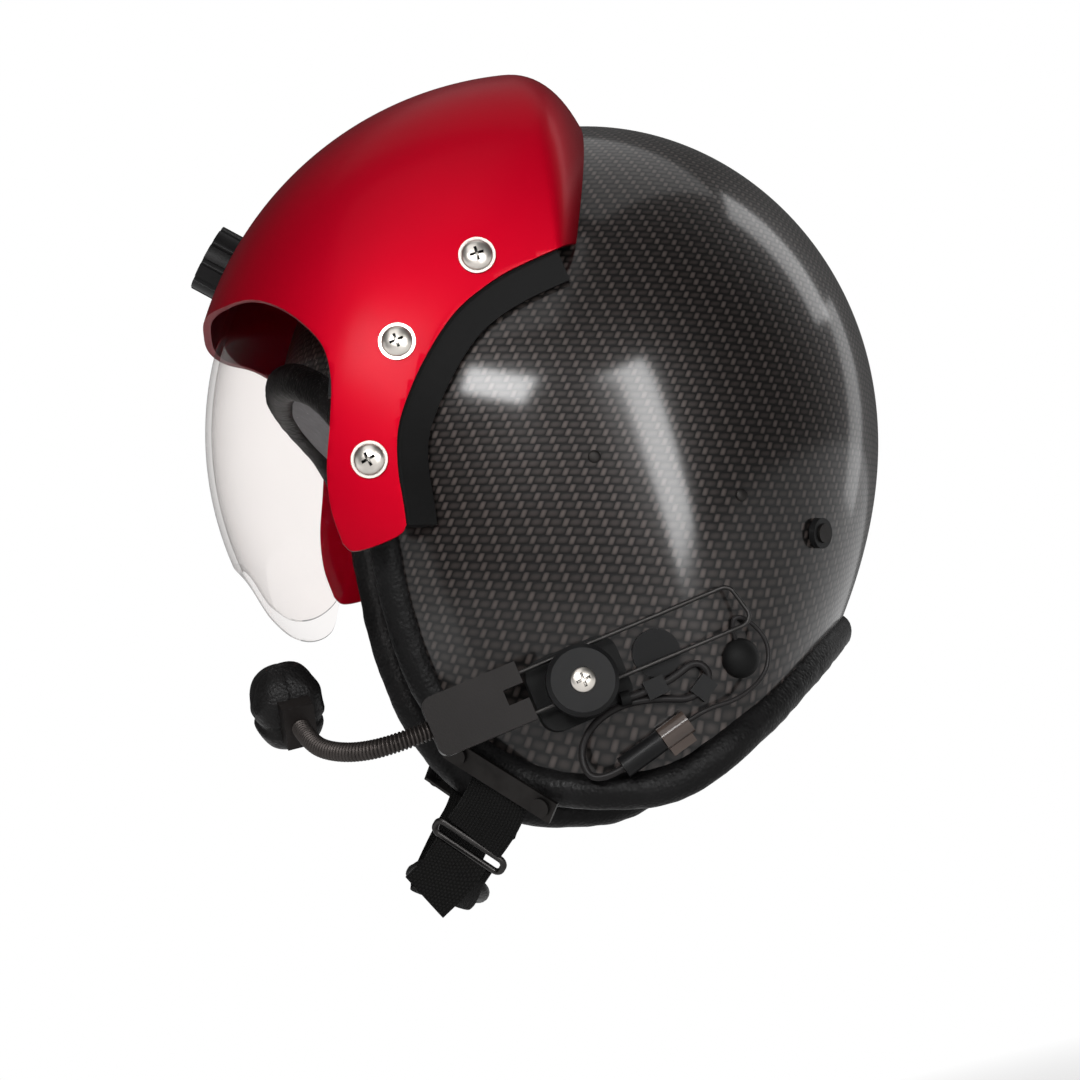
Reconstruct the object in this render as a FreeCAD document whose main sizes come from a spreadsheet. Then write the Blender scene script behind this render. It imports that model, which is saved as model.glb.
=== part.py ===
import FreeCAD, Part
import math
import os

import Sketcher

os.makedirs("parts", exist_ok=True)
doc = FreeCAD.newDocument("flight_helmet")
V = FreeCAD.Vector
UP = V(0, 0, 1)
SIDEWAYS = V(1, 0, 0)
FULL_TURN = 360.0
LEFT, RIGHT = 1, -1

# Driving dimensions in millimetres and degrees, one group for each sub-assembly
SIZES = {
    "shell": {
        "shell_side": 120.0,
        "shell_front": 127.0,
        "shell_rear": 114.5,
        "dome_rise": 122.5,
        "dome_centre": 44.5,
        "skirt_depth": 157.0,
        "shell_wall": 3.0,
        "seat_gap": 0.3,
        "overrun": 2.0,
        "cut_tolerance": 0.005,
    },
    "edge_roll": {"roll_radius": 7.2},
    "liners": {
        "foam_thickness": 20.0,
        "comfort_thickness": 9.0,
        "comfort_floor": 30.0,
        "nape_pad_thickness": 16.0,
        "nape_pad_height": 38.0,
        "nape_pad_half_width": 52.0,
        "nape_pad_top": -9.0,
    },
    "housing": {
        "housing_radius": 139.5,
        "housing_side": 122.0,
        "housing_wall": 3.0,
        "housing_pivot_back": -22.0,
        "housing_pivot_rise": 48.3,
        "rear_dip": 4.0,
        "slot_half_width": 3.4,
        "slot_start": 40.9,
        "slot_end": 90.6,
        "gasket_reach": 12.0,
        "gasket_wall": 2.6,
        "gasket_tuck": 3.0,
    },
    "housing_fixings": {
        "truss_head_radius": 5.9,
        "truss_head_height": 2.6,
        "truss_shank_radius": 2.0,
        "truss_shank_length": 14.0,
        "recess_width": 1.1,
        "recess_length": 5.4,
        "recess_depth": 1.8,
        "washer_radius": 7.0,
        "washer_thickness": 1.0,
        "spacer_radius": 4.5,
    },
    "visor": {
        "lens_radius": 133.0,
        "lens_side": 133.0,
        "lens_wall": 2.5,
        "lens_inner_reach": 81.0,
        "lens_top_angle": 46.5,
        "bracket_wall": 2.2,
        "bracket_width": 34.0,
        "bracket_length": 12.0,
        "stud_radius": 2.5,
        "knob_radius": 14.0,
        "knob_height": 10.0,
        "knob_lift": 1.0,
        "knob_angle": 43.1,
        "knob_grooves": 10.0,
        "groove_radius": 1.7,
    },
    "visor_track": {
        "track_inner": 71.0,
        "track_outer": 79.0,
        "track_inboard": 104.0,
        "track_thickness": 2.5,
        "track_start": -3.4,
        "track_end": 80.5,
        "lug_inner": 52.5,
        "shoe_inner": 75.0,
        "shoe_outer": 85.0,
        "shoe_inboard": 101.5,
        "shoe_thickness": 7.0,
        "shoe_start": 14.0,
        "shoe_end": 26.0,
    },
    "ear_cups": {
        "ear_back": -15.0,
        "ear_rise": -40.0,
        "cup_height": 46.0,
        "cup_width": 36.0,
        "cup_depth": 40.5,
        "cup_wall": 3.0,
        "cup_rim": 72.0,
        "seal_radius": 8.0,
        "seal_gap": 0.3,
        "speaker_radius": 20.0,
        "speaker_thickness": 12.0,
        "ear_disc_radius": 9.0,
        "ear_disc_thickness": 3.2,
    },
    "nape_fixings": {
        "nape_cup_radius": 5.8,
        "nape_cup_height": 2.6,
        "nape_screw_radius": 3.6,
        "nape_screw_height": 3.6,
    },
    "boom": {
        "boom_back": -42.0,
        "boom_rise": -59.0,
        "boom_angle": 8.0,
        "base_width": 36.0,
        "base_height": 28.0,
        "base_inboard": 90.0,
        "base_outboard": 115.5,
        "clamp_radius": 12.5,
        "clamp_height": 10.0,
        "clamp_gap": 0.3,
        "knob_disc_radius": 13.5,
        "knob_disc_height": 6.5,
        "knob_disc_bevel": 1.6,
        "clamp_screw_radius": 4.7,
        "clamp_screw_height": 1.8,
        "clamp_shank_radius": 2.5,
        "shank_gap": 0.05,
        "wire_radius": 0.8,
        "wire_spacing": 16.0,
        "wire_front": -24.0,
        "wire_rear": 69.0,
        "wire_bend": 4.0,
        "wire_level": 5.0,
        "wire_gap": 0.25,
        "slab_length": 38.0,
        "slab_height": 23.0,
        "slab_thickness": 8.0,
        "slab_rear": -20.0,
        "slab_notch_length": 8.0,
        "slab_notch_width": 6.0,
        "slab_corner": 4.0,
        "slab_shift": 5.0,
        "wire_shift": 4.0,
    },
    "microphone": {
        "gooseneck_radius": 3.7,
        "muff_height": 34.0,
        "muff_width": 27.0,
        "muff_depth": 26.0,
        "yoke_length": 9.0,
        "yoke_width": 17.0,
        "yoke_depth": 12.0,
        "yoke_fork": 2.4,
    },
    "wiring": {
        "lead_radius": 1.4,
        "thin_lead_radius": 0.9,
        "plug_radius": 4.2,
        "plug_length": 18.0,
        "jack_radius": 4.6,
        "jack_length": 12.0,
        "latch_length": 10.0,
        "latch_width": 4.0,
        "latch_thickness": 3.0,
        "boot_radius": 7.5,
        "boot_height": 6.0,
        "clip_length": 8.0,
        "clip_width": 7.0,
        "clip_height": 2.6,
        "gland_radius": 2.8,
        "gland_length": 3.6,
    },
    "chin_harness": {
        "anchor_length": 48.5,
        "anchor_width": 9.0,
        "anchor_thickness": 1.6,
        "anchor_hole": 2.1,
        "anchor_spacing": 38.0,
        "anchor_screw_radius": 3.6,
        "anchor_screw_height": 1.6,
        "anchor_tilt": 36.0,
        "web_width": 25.0,
        "web_thickness": 2.0,
        "pad_width": 34.0,
        "pad_thickness": 7.0,
        "tail_share": 0.9,
        "ring_wire": 1.3,
        "ring_slack": 0.8,
        "rivet_radius": 2.4,
        "rivet_height": 0.9,
    },
}

sheet = doc.addObject("Spreadsheet::Sheet", "sizes")
row = 1
for group, values in SIZES.items():
    sheet.set(f"A{row}", group)
    row += 1
    for alias, value in values.items():
        sheet.set(f"A{row}", alias)
        sheet.set(f"B{row}", str(value))
        sheet.setAlias(f"B{row}", alias)
        row += 1
doc.recompute()


class Size:
    """Reads a driving dimension from the sheet by its name."""

    def __getattr__(self, alias):
        return float(sheet.get(alias))


size = Size()

# Outlines seen from the side, as shares of the front reach (y) and the dome's rise (z)
RIM_SHARES = (
    (-1.080, 0.800), (-0.976, 0.784), (-0.819, 0.612), (-0.748, 0.367), (-0.756, 0.122),
    (-0.764, -0.122), (-0.732, -0.392), (-0.642, -0.596), (-0.504, -0.739), (-0.339, -0.812),
    (-0.118, -0.841), (0.157, -0.727), (0.520, -0.510), (0.709, -0.416),
)
HOUSING_LIP_SHARES = (
    (-1.330, 1.030), (-1.142, 0.992), (-1.063, 0.963), (-0.969, 0.939), (-0.898, 0.882),
    (-0.840, 0.802), (-0.802, 0.713), (-0.803, 0.615), (-0.836, 0.491), (-0.883, 0.343),
    (-0.900, 0.220), (-0.891, 0.114),
)
HOUSING_FOOT_SHARES = ((-0.891, 0.114), (-0.870, 0.085), (-0.720, 0.095), (-0.701, 0.116))
HOUSING_REAR_SHARES = (
    (-0.701, 0.116), (-0.693, 0.189), (-0.685, 0.279), (-0.654, 0.402), (-0.591, 0.508),
    (-0.504, 0.614), (-0.394, 0.712), (-0.252, 0.777), (-0.150, 0.802), (-0.063, 0.818),
)
HOUSING_BACK_SHARES = ((-0.063, 0.818), (0.400, 0.950), (0.400, 1.750), (-1.330, 1.750), (-1.330, 1.030))
LENS_LOWER_SHARES = (
    (-1.340, 0.260), (-1.197, 0.212), (-1.126, 0.041), (-1.071, -0.029), (-1.008, -0.049),
    (-0.941, -0.024), (-0.882, 0.082),
)
HOUSING_SCREW_SHARES = ((-0.299, 0.857), (-0.591, 0.661), (-0.756, 0.335))
TRACK_LUG_ANGLES = ((26.0, 37.5), (68.0, 80.5))
LENS_REAR_ANGLES = (-14.0, 5.0, 25.0)
LINER_SHARES = (
    (-1.000, 0.815), (-0.472, 0.098), (0.197, 0.098), (0.300, -0.040), (1.000, -0.065),
    (1.000, 1.500), (-1.000, 1.500), (-1.000, 0.815),
)
NAPE_SCREW_SHARE = (0.492, -0.211)
EAR_SCREW_SHARE = (-0.091, -0.451)
BOOT_SHARE = (0.150, -0.531)
RIVET_SHARES = ((-0.119, 0.171), (0.279, -0.051))
ANCHOR_SHARE = (-0.575, -0.686)
MUFF_SHARES = ((-0.5, 0.55), (-0.32, 0.86), (0.0, 1.0), (0.25, 0.94), (0.42, 0.72), (0.5, 0.45))
SIDE_TAPER_SHARE = 0.0986
FRONT_TAPER_SHARE = 0.222
REAR_TAPER_SHARE = 0.813
FRONT_POWER = 2.5
REAR_POWER = 2.2
HOUSING_POWER = 3.2
CLOSING_LEAN = 50.0
CLOSING_ANGLES = ((97.0, 4.0), (113.7, 0.3))
CLOSING_POWER = 2.2
HOUSING_ANGLES = (
    -36, -26, -16, -6, 4, 14, 24, 34, 44, 54, 64, 74, 84, 92, 97, 100, 103, 106, 109, 112, 115,
)
RING_POINTS = 28
TOP_RING_ANGLE = 84.0


def half_widths(level, inset):
    """The dome's half width to the side, front and rear at one height, set in by a wall."""
    rise = level - size.dome_centre
    if rise >= 0:
        lift = min(rise / (size.dome_rise - inset), 1.0)
        share = math.sqrt(1 - lift * lift)
        return [(reach - inset) * share for reach in (size.shell_side, size.shell_front, size.shell_rear)]
    drop = (rise / size.skirt_depth) ** 2
    return [
        size.shell_side * (1 - SIDE_TAPER_SHARE * drop) - inset,
        size.shell_front * (1 - FRONT_TAPER_SHARE * drop) - inset,
        size.shell_rear * (1 - REAR_TAPER_SHARE * drop) - inset,
    ]


def shell_x(back, level, inset=0.0):
    """How far out the dome stands at a place seen from the side, or zero past its outline."""
    side, front, rear = half_widths(level, inset)
    reach, power = (front, FRONT_POWER) if back < 0 else (rear, REAR_POWER)
    if reach <= 0 or abs(back) >= reach:
        return 0.0
    return side * (1 - (abs(back) / reach) ** power) ** (1 / power)


def housing_x(back, level, inset=0.0):
    """How far out the visor housing stands at a place seen from the side."""
    away = math.hypot(back - size.housing_pivot_back, level - size.housing_pivot_rise)
    share = away / (size.housing_radius - inset)
    if share >= 1:
        return 0.0
    return (size.housing_side - inset) * (1 - share ** HOUSING_POWER) ** (1 / HOUSING_POWER)


def normal_at(surface, back, level, hand):
    """The outward normal of a side surface, from two small steps along it."""
    step = size.seat_gap
    slope_back = (surface(back + step, level) - surface(back - step, level)) / (2 * step)
    slope_up = (surface(back, level + step) - surface(back, level - step)) / (2 * step)
    outward = V(hand, -slope_back, -slope_up)
    return outward.normalize()


def spot(share):
    """A place seen from the side, from its shares."""
    return share[0] * size.shell_front, share[1] * size.dome_rise


def seat_on(surface, share, hand, lift=0.0):
    """A placement on a side surface whose own Z axis points straight out of it."""
    back, level = spot(share)
    outward = normal_at(surface, back, level, hand)
    point = V(hand * surface(back, level), back, level) + outward * lift
    return FreeCAD.Placement(point, FreeCAD.Rotation(UP, outward))


# Curves and solids from points
def smooth_edge(points):
    """An edge through the points: a line for two, a smooth curve for more."""
    if len(points) == 2:
        return Part.makeLine(points[0], points[1])
    curve = Part.BSplineCurve()
    curve.interpolate(Points=points)
    return curve.toShape()


def even_edge(points):
    """A smooth edge whose parameters are evenly spaced, so that sections match."""
    curve = Part.BSplineCurve()
    steps = [i / (len(points) - 1) for i in range(len(points))]
    curve.interpolate(Points=points, Parameters=steps)
    return curve.toShape()


def ring_wire(points):
    """A closed smooth wire through the points, evenly spaced in its parameter."""
    curve = Part.BSplineCurve()
    steps = [i / len(points) for i in range(len(points) + 1)]
    curve.interpolate(Points=points, PeriodicFlag=True, Parameters=steps)
    return Part.Wire([curve.toShape()])


def loft(wires, ruled=False):
    """A solid through the wires."""
    solid = Part.makeLoft(wires, True, ruled)
    if solid.Volume < 0:
        solid.reverse()
    return solid


def side_prism(curves, half_width):
    """A solid with a side outline, made of curves of shares, across the whole helmet."""
    edges = []
    for curve in curves:
        points = [V(-half_width, *spot(share)) for share in curve]
        edges.append(smooth_edge(points))
    face = Part.Face(Part.Wire(edges))
    return face.extrude(SIDEWAYS * (2 * half_width))


def feature(name, shape):
    """A sub-part whose form only its own code can give."""
    made = doc.addObject("Part::Feature", name)
    place = shape.Placement
    made.Shape = shape
    made.Label = name
    made.Placement = place
    return made


def primitive(kind, name, placement=None, **bound):
    """A primitive whose sizes are expressions on the sheet."""
    made = doc.addObject(kind, name)
    for prop, expression in bound.items():
        if isinstance(expression, str):
            made.setExpression(prop, expression)
        else:
            setattr(made, prop, expression)
    made.Placement = placement or FreeCAD.Placement()
    return made


def cut(name, base, tool):
    """One object less another."""
    made = doc.addObject("Part::Cut", name)
    made.Base, made.Tool = base, tool
    made.Label = name
    return made


def common(name, base, tool):
    """What two objects share."""
    made = doc.addObject("Part::Common", name)
    made.Base, made.Tool = base, tool
    made.Label = name
    return made


def fuse(name, members):
    """Several objects as one sub-part. Those that stand apart stay separate solids."""
    made = doc.addObject("Part::MultiFuse", name)
    made.Shapes = members
    made.Label = name
    return made


def bind(label, obj):
    """Gives the finished object of a sub-part its name."""
    obj.Label = label
    NODES.append(obj)
    return obj


NODES = []


# Sketches with bound sizes
def role_plane(body, role):
    """One of the body's own origin planes."""
    return next(f for f in body.Origin.OriginFeatures if f.Role == role)


def new_body(name, placement):
    """An empty body at its place."""
    body = doc.addObject("PartDesign::Body", name)
    body.Label = name
    body.Placement = placement
    return body


def flat_sketch(body, name, offset=None):
    """A sketch on the body's XY plane, raised by an expression."""
    sketch = body.newObject("Sketcher::SketchObject", name)
    sketch.AttachmentSupport = (role_plane(body, "XY_Plane"), [""])
    sketch.MapMode = "FlatFace"
    if offset:
        sketch.setExpression("AttachmentOffset.Base.z", offset)
    return sketch


def draw_rectangle(sketch, left, low, width, height):
    """A rectangle from its low left corner, all four sizes as expressions."""
    corners = [V(0, 0, 0), V(10, 0, 0), V(10, 5, 0), V(0, 5, 0)]
    for i in range(4):
        sketch.addGeometry(Part.LineSegment(corners[i], corners[(i + 1) % 4]), False)
    for i in range(4):
        sketch.addConstraint(Sketcher.Constraint("Coincident", i, 2, (i + 1) % 4, 1))
    for line, kind in ((0, "Horizontal"), (2, "Horizontal"), (1, "Vertical"), (3, "Vertical")):
        sketch.addConstraint(Sketcher.Constraint(kind, line))
    rules = (
        ("DistanceX", (0, 1, 0, 2), width),
        ("DistanceY", (1, 1, 1, 2), height),
        ("DistanceX", (-1, 1, 0, 1), left),
        ("DistanceY", (-1, 1, 0, 1), low),
    )
    for kind, places, expression in rules:
        number = sketch.addConstraint(Sketcher.Constraint(kind, *places, size.overrun))
        sketch.setExpression(f"Constraints[{number}]", expression)


def draw_circle(sketch, radius, along="0 mm", across="0 mm"):
    """A circle whose radius and centre are expressions."""
    number = sketch.addGeometry(Part.Circle(V(0, 0, 0), UP, size.overrun), False)
    rules = (
        ("Radius", (number,), radius),
        ("DistanceX", (-1, 1, number, 3), along),
        ("DistanceY", (-1, 1, number, 3), across),
    )
    for kind, places, expression in rules:
        if expression == "0 mm":
            continue
        rule = sketch.addConstraint(Sketcher.Constraint(kind, *places, size.overrun))
        sketch.setExpression(f"Constraints[{rule}]", expression)


def pad(body, name, sketch, length):
    """A pad of a sketch, its length an expression."""
    made = body.newObject("PartDesign::Pad", name)
    made.Profile = sketch
    made.setExpression("Length", length)
    return made


def pocket(body, name, sketch, length, back_way=True):
    """A pocket cut from a sketch, its length an expression."""
    made = body.newObject("PartDesign::Pocket", name)
    made.Profile = sketch
    made.setExpression("Length", length)
    made.Reversed = not back_way
    return made


# The dome and what lines it
def dome_solid(inset, floor_level):
    """A closed dome through smooth rings, from its floor up to just under its crown."""
    rise, last = size.dome_rise - inset, math.radians(TOP_RING_ANGLE)
    top = size.dome_centre + rise * math.sin(last)
    low = floor_level
    below = [low + (size.dome_centre - low) * i / 5 for i in range(5)]
    above = [size.dome_centre + rise * math.sin(last * i / 9) for i in range(9)]
    wires = []
    for level in below + above + [top]:
        side, front, rear = half_widths(level, inset)
        points = []
        for i in range(RING_POINTS):
            angle = math.radians(FULL_TURN * i / RING_POINTS)
            reach, power = (front, FRONT_POWER) if math.cos(angle) > 0 else (rear, REAR_POWER)
            across, along = abs(math.sin(angle)), abs(math.cos(angle))
            radius = ((across / side) ** power + (along / reach) ** power) ** (-1 / power)
            points.append(V(radius * math.sin(angle), -radius * math.cos(angle), level))
        wires.append(ring_wire(points))
    return loft(wires)


WIDE = size.shell_front + size.dome_rise
BELOW_ALL = size.dome_centre - size.skirt_depth
dome = dome_solid(0.0, BELOW_ALL)
dome_bore = dome_solid(size.shell_wall, BELOW_ALL)

rim_curve = Part.BSplineCurve()
rim_curve.interpolate(Points=[V(0, *spot(share)) for share in RIM_SHARES])


def rim_cut():
    """Everything below the rim line, from the brow round the cheek to the nape."""
    first, last = rim_curve.StartPoint, rim_curve.EndPoint
    low = -WIDE
    corners = [last, V(0, WIDE, last.z), V(0, WIDE, low), V(0, -WIDE, low), V(0, -WIDE, first.z), first]
    edges = [rim_curve.toShape()]
    edges += [Part.makeLine(corners[i], corners[i + 1]) for i in range(len(corners) - 1)]
    face = Part.Face(Part.Wire(edges))
    face.translate(SIDEWAYS * -WIDE)
    return face.extrude(SIDEWAYS * (2 * WIDE))


below_rim = rim_cut()
shell_solid = dome.cut(dome_bore).cut(below_rim)
bind("outer_shell", feature("outer_shell", shell_solid))


def rim_point(share, inset):
    """A point on the rim of one side, from the brow (0) to the nape (1)."""
    def out(parameter):
        place = rim_curve.value(parameter)
        return shell_x(place.y, place.z, inset)

    first, last = rim_curve.FirstParameter, rim_curve.LastParameter
    middle = (first + last) / 2
    ends = []
    for edge in (first, last):
        inside, outside = middle, edge
        for _ in range(40):
            guess = (inside + outside) / 2
            inside, outside = (guess, outside) if out(guess) > 0 else (inside, guess)
        ends.append(inside)
    parameter = ends[0] + (ends[1] - ends[0]) * (1 - math.cos(math.pi * share)) / 2
    place = rim_curve.value(parameter)
    return V(out(parameter), place.y, place.z)


def roll_half(radius, stations=34):
    """Half of the padded roll round the rim, cut flat at the middle plane."""
    points = [rim_point(i / stations, size.shell_wall / 2) for i in range(stations + 1)]
    points[0].x = points[-1].x = 0.0
    wires = []
    for i, point in enumerate(points):
        if i in (0, stations):
            along = SIDEWAYS
        else:
            along = (points[i + 1] - points[i - 1]).normalize()
        circle = Part.Circle(point, along if i != stations else SIDEWAYS * -1, radius)
        circle_edge = circle.toShape()
        wires.append(Part.Wire([circle_edge]))
    return loft(wires)


def roll_ring(radius):
    """The whole padded roll."""
    half = roll_half(radius)
    return half.fuse(half.mirror(V(0, 0, 0), SIDEWAYS))


roll_room = roll_ring(size.roll_radius + size.seat_gap)
roll_solid = roll_ring(size.roll_radius).cut(shell_solid)
bind("edge_roll", feature("edge_roll", roll_solid))

foam_inset = size.shell_wall + size.seat_gap
comfort_inset = foam_inset + size.foam_thickness + size.seat_gap
LINER_FLOOR = size.nape_pad_top - size.nape_pad_height - size.overrun


def lining(inset, thickness):
    """A layer inside the shell before it is trimmed."""
    return dome_solid(inset, LINER_FLOOR).cut(dome_solid(inset + thickness, LINER_FLOOR))


liner_corners = list(zip(LINER_SHARES[:-1], LINER_SHARES[1:]))
foam = lining(foam_inset, size.foam_thickness).common(side_prism(liner_corners, WIDE)).cut(roll_room)
bind("energy_liner", feature("energy_liner", foam))
above_pads = Part.makeBox(2 * WIDE, 2 * WIDE, WIDE, V(-WIDE, -WIDE, size.comfort_floor))
comfort = lining(comfort_inset, size.comfort_thickness).common(above_pads)
comfort = comfort.common(side_prism(liner_corners, WIDE)).cut(roll_room)
bind("comfort_liner", feature("comfort_liner", comfort))
nape_box = Part.makeBox(
    2 * size.nape_pad_half_width,
    WIDE,
    size.nape_pad_height,
    V(-size.nape_pad_half_width, size.nape_pad_height, size.nape_pad_top - size.nape_pad_height),
)
nape_pad = lining(foam_inset, size.nape_pad_thickness).common(nape_box).cut(roll_room)
bind("nape_pad", feature("nape_pad", nape_pad))


# The visor housing
PIVOT = V(0, size.housing_pivot_back, size.housing_pivot_rise)


def polar(radius, angle, out=0.0):
    """A point at a radius and angle about the visor's axis."""
    turn = math.radians(angle)
    return PIVOT + V(out, -radius * math.cos(turn), radius * math.sin(turn))


def dome_away(direction):
    """The distance from the visor's axis to the dome along one direction."""
    near, far = 0.0, WIDE
    for _ in range(40):
        middle = (near + far) / 2
        place = PIVOT + direction * middle
        inside = abs(place.x) < shell_x(place.y, place.z)
        near, far = (middle, far) if inside else (near, middle)
    return near


def housing_curve(angle, inset, spread=72.0, count=23):
    """The housing's section at one angle. At the rear it closes down on the dome."""
    radius, side = size.housing_radius - inset, size.housing_side - inset
    points = []
    for i in range(count):
        degrees = -spread + 2 * spread * i / (count - 1)
        lean = math.radians(degrees)
        across, along = abs(math.sin(lean)) / side, math.cos(lean) / radius
        away = (across ** HOUSING_POWER + along ** HOUSING_POWER) ** (-1 / HOUSING_POWER)
        direction = polar(math.cos(lean), angle, math.sin(lean)) - PIVOT
        outward = (degrees / CLOSING_LEAN) ** 2
        start, end = (first + slope * outward for first, slope in CLOSING_ANGLES)
        closing = min(max((angle - start) / (end - start), 0.0), 1.0) ** CLOSING_POWER
        if closing > 0:
            away += (dome_away(direction) - size.rear_dip - inset - away) * closing
        points.append(PIVOT + direction * away)
    return points



def housing_block(inset_out, inset_in):
    """The housing's wall before its outline is cut."""
    wires = []
    for angle in HOUSING_ANGLES:
        outer = housing_curve(angle, inset_out)
        inner = housing_curve(angle, inset_in)
        edges = [
            even_edge(outer),
            Part.makeLine(outer[-1], inner[-1]),
            even_edge(inner[::-1]),
            Part.makeLine(inner[0], outer[0]),
        ]
        wires.append(Part.Wire(edges))
    return loft(wires)


back_corners = list(zip(HOUSING_BACK_SHARES[:-1], HOUSING_BACK_SHARES[1:]))
housing_outline = side_prism(
    [HOUSING_LIP_SHARES, HOUSING_FOOT_SHARES, HOUSING_REAR_SHARES] + back_corners, WIDE
)
dome_clear = dome_solid(-size.seat_gap, BELOW_ALL)


def slot_cutter():
    """The curved slot over the middle that the lock stud runs in."""
    half = size.slot_half_width
    inner, outer = size.housing_radius - 5 * half, size.housing_radius + half
    face = Part.Face(
        Part.makePolygon(
            [
                polar(inner, size.slot_start, -half),
                polar(inner, size.slot_start, half),
                polar(outer, size.slot_start, half),
                polar(outer, size.slot_start, -half),
                polar(inner, size.slot_start, -half),
            ]
        )
    )
    return face.revolve(PIVOT, SIDEWAYS * -1, size.slot_end - size.slot_start)


def screw_holes(shape, surface, shares, radius, depth):
    """The shape with clearance holes through it for screws on both sides."""
    for share in shares:
        for hand in (LEFT, RIGHT):
            place = seat_on(surface, share, hand, -depth)
            hole = Part.makeCylinder(radius, 2 * depth)
            hole.Placement = place
            shape = shape.cut(hole)
    return shape


housing = housing_block(0.0, size.housing_wall).common(housing_outline).cut(dome_clear)
housing = max(housing.Solids, key=lambda solid: solid.Volume)
housing = housing.cut((slot_cutter(),), size.cut_tolerance)
housing = screw_holes(
    housing,
    housing_x,
    HOUSING_SCREW_SHARES,
    size.truss_shank_radius + size.seat_gap,
    size.housing_wall * 2,
)
bind("visor_housing", feature("visor_housing", housing))


def gasket_half():
    """One side of the dark strip that slopes from the housing's edge down to the shell."""
    outline = [V(0, *spot(share)) for share in HOUSING_REAR_SHARES]
    curve = Part.BSplineCurve()
    curve.interpolate(Points=outline)
    count = 20
    first, last = curve.FirstParameter, curve.LastParameter
    wires = []
    for i in range(count + 1):
        parameter = first + (last - first) * i / count
        edge = curve.value(parameter)
        ahead = curve.tangent(parameter)[0]
        away = V(0, ahead.z, -ahead.y)
        corners = []
        under = size.housing_wall + size.seat_gap
        for reach, surface, lift in (
            (-size.gasket_tuck, housing_x, -under),
            (size.gasket_wall / 2, housing_x, -under),
            (size.gasket_reach, shell_x, size.gasket_wall),
            (size.gasket_reach, shell_x, size.seat_gap),
            (size.gasket_reach / 2, shell_x, size.seat_gap),
            (-size.gasket_tuck, housing_x, -under - size.gasket_wall),
        ):
            place = edge + away * reach
            corners.append(V(surface(place.y, place.z) + lift, place.y, place.z))
        wires.append(Part.makePolygon(corners + [corners[0]]))
    return loft(wires, True)


# Fixings of the housing
def truss_screw(name, place, radius, height, shank, length):
    """A domed screw with a cross recess. Its own Z points out of the head."""
    head = primitive(
        "Part::Ellipsoid", name + "_head", place,
        Radius1=height, Radius2=radius, Radius3=radius, Angle1=0.0, Angle2=90.0,
    )
    inward = place.multiply(FreeCAD.Placement(V(0, 0, 0), FreeCAD.Rotation(SIDEWAYS, 180)))
    body = primitive("Part::Cylinder", name + "_shank", inward, Radius=shank, Height=length)
    blank = fuse(name + "_blank", [head, body])
    slots = []
    for number, turn in enumerate((0, 90)):
        offset = FreeCAD.Placement(V(0, 0, 0), FreeCAD.Rotation(UP, turn))
        corner = V(-size.recess_length / 2, -size.recess_width / 2, size.truss_head_height)
        lowered = FreeCAD.Placement(corner - UP * size.recess_depth, FreeCAD.Rotation())
        slots.append(
            primitive(
                "Part::Box", f"{name}_recess_{number}", place.multiply(offset).multiply(lowered),
                Length="sizes.recess_length", Width="sizes.recess_width", Height="2 * sizes.recess_depth",
            )
        )
    return cut(name, blank, fuse(name + "_recess", slots))


screws, washers, spacer_shapes = [], [], []
for number, share in enumerate(HOUSING_SCREW_SHARES):
    for hand, side in ((LEFT, "left"), (RIGHT, "right")):
        place = seat_on(housing_x, share, hand, size.washer_thickness)
        name = f"housing_screw_{side}_{number}"
        screws.append(
            truss_screw(
                name, place, "sizes.truss_head_radius", "sizes.truss_head_height",
                "sizes.truss_shank_radius", "sizes.truss_shank_length",
            )
        )
        low = seat_on(housing_x, share, hand, 0.0)
        ring = primitive(
            "Part::Cylinder", name + "_washer", low,
            Radius="sizes.washer_radius", Height="sizes.washer_thickness",
        )
        bore = primitive(
            "Part::Cylinder", name + "_washer_bore", low,
            Radius="sizes.truss_shank_radius + sizes.seat_gap / 2", Height="2 * sizes.washer_thickness",
        )
        washers.append(cut(name + "_washer_ring", ring, bore))
        inner = seat_on(housing_x, share, hand, -size.housing_wall - size.seat_gap)
        spacer = Part.makeCylinder(size.spacer_radius, WIDE / 4, V(0, 0, 0), UP * -1)
        spacer.Placement = inner
        shank = Part.makeCylinder(size.truss_shank_radius + size.seat_gap / 2, WIDE / 4, V(0, 0, 0), UP * -1)
        shank.Placement = inner
        spacer_shapes.append(spacer.cut(dome_clear).cut(roll_room).cut(shank))
bind("housing_screws", fuse("housing_screws", screws))
bind("housing_washers", fuse("housing_washers", washers))
bind("housing_spacers", feature("housing_spacers", Part.makeCompound(spacer_shapes)))


# Curved tracks inside the housing that guide the lens
def ring_sector(inner, outer, inboard, outboard, start, end):
    """A block swept round the visor's axis between two angles."""
    corners = [
        polar(inner, start, inboard),
        polar(outer, start, inboard),
        polar(outer, start, outboard),
        polar(inner, start, outboard),
    ]
    face = Part.Face(Part.makePolygon(corners + [corners[0]]))
    return face.revolve(PIVOT, SIDEWAYS * -1, end - start)


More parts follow.
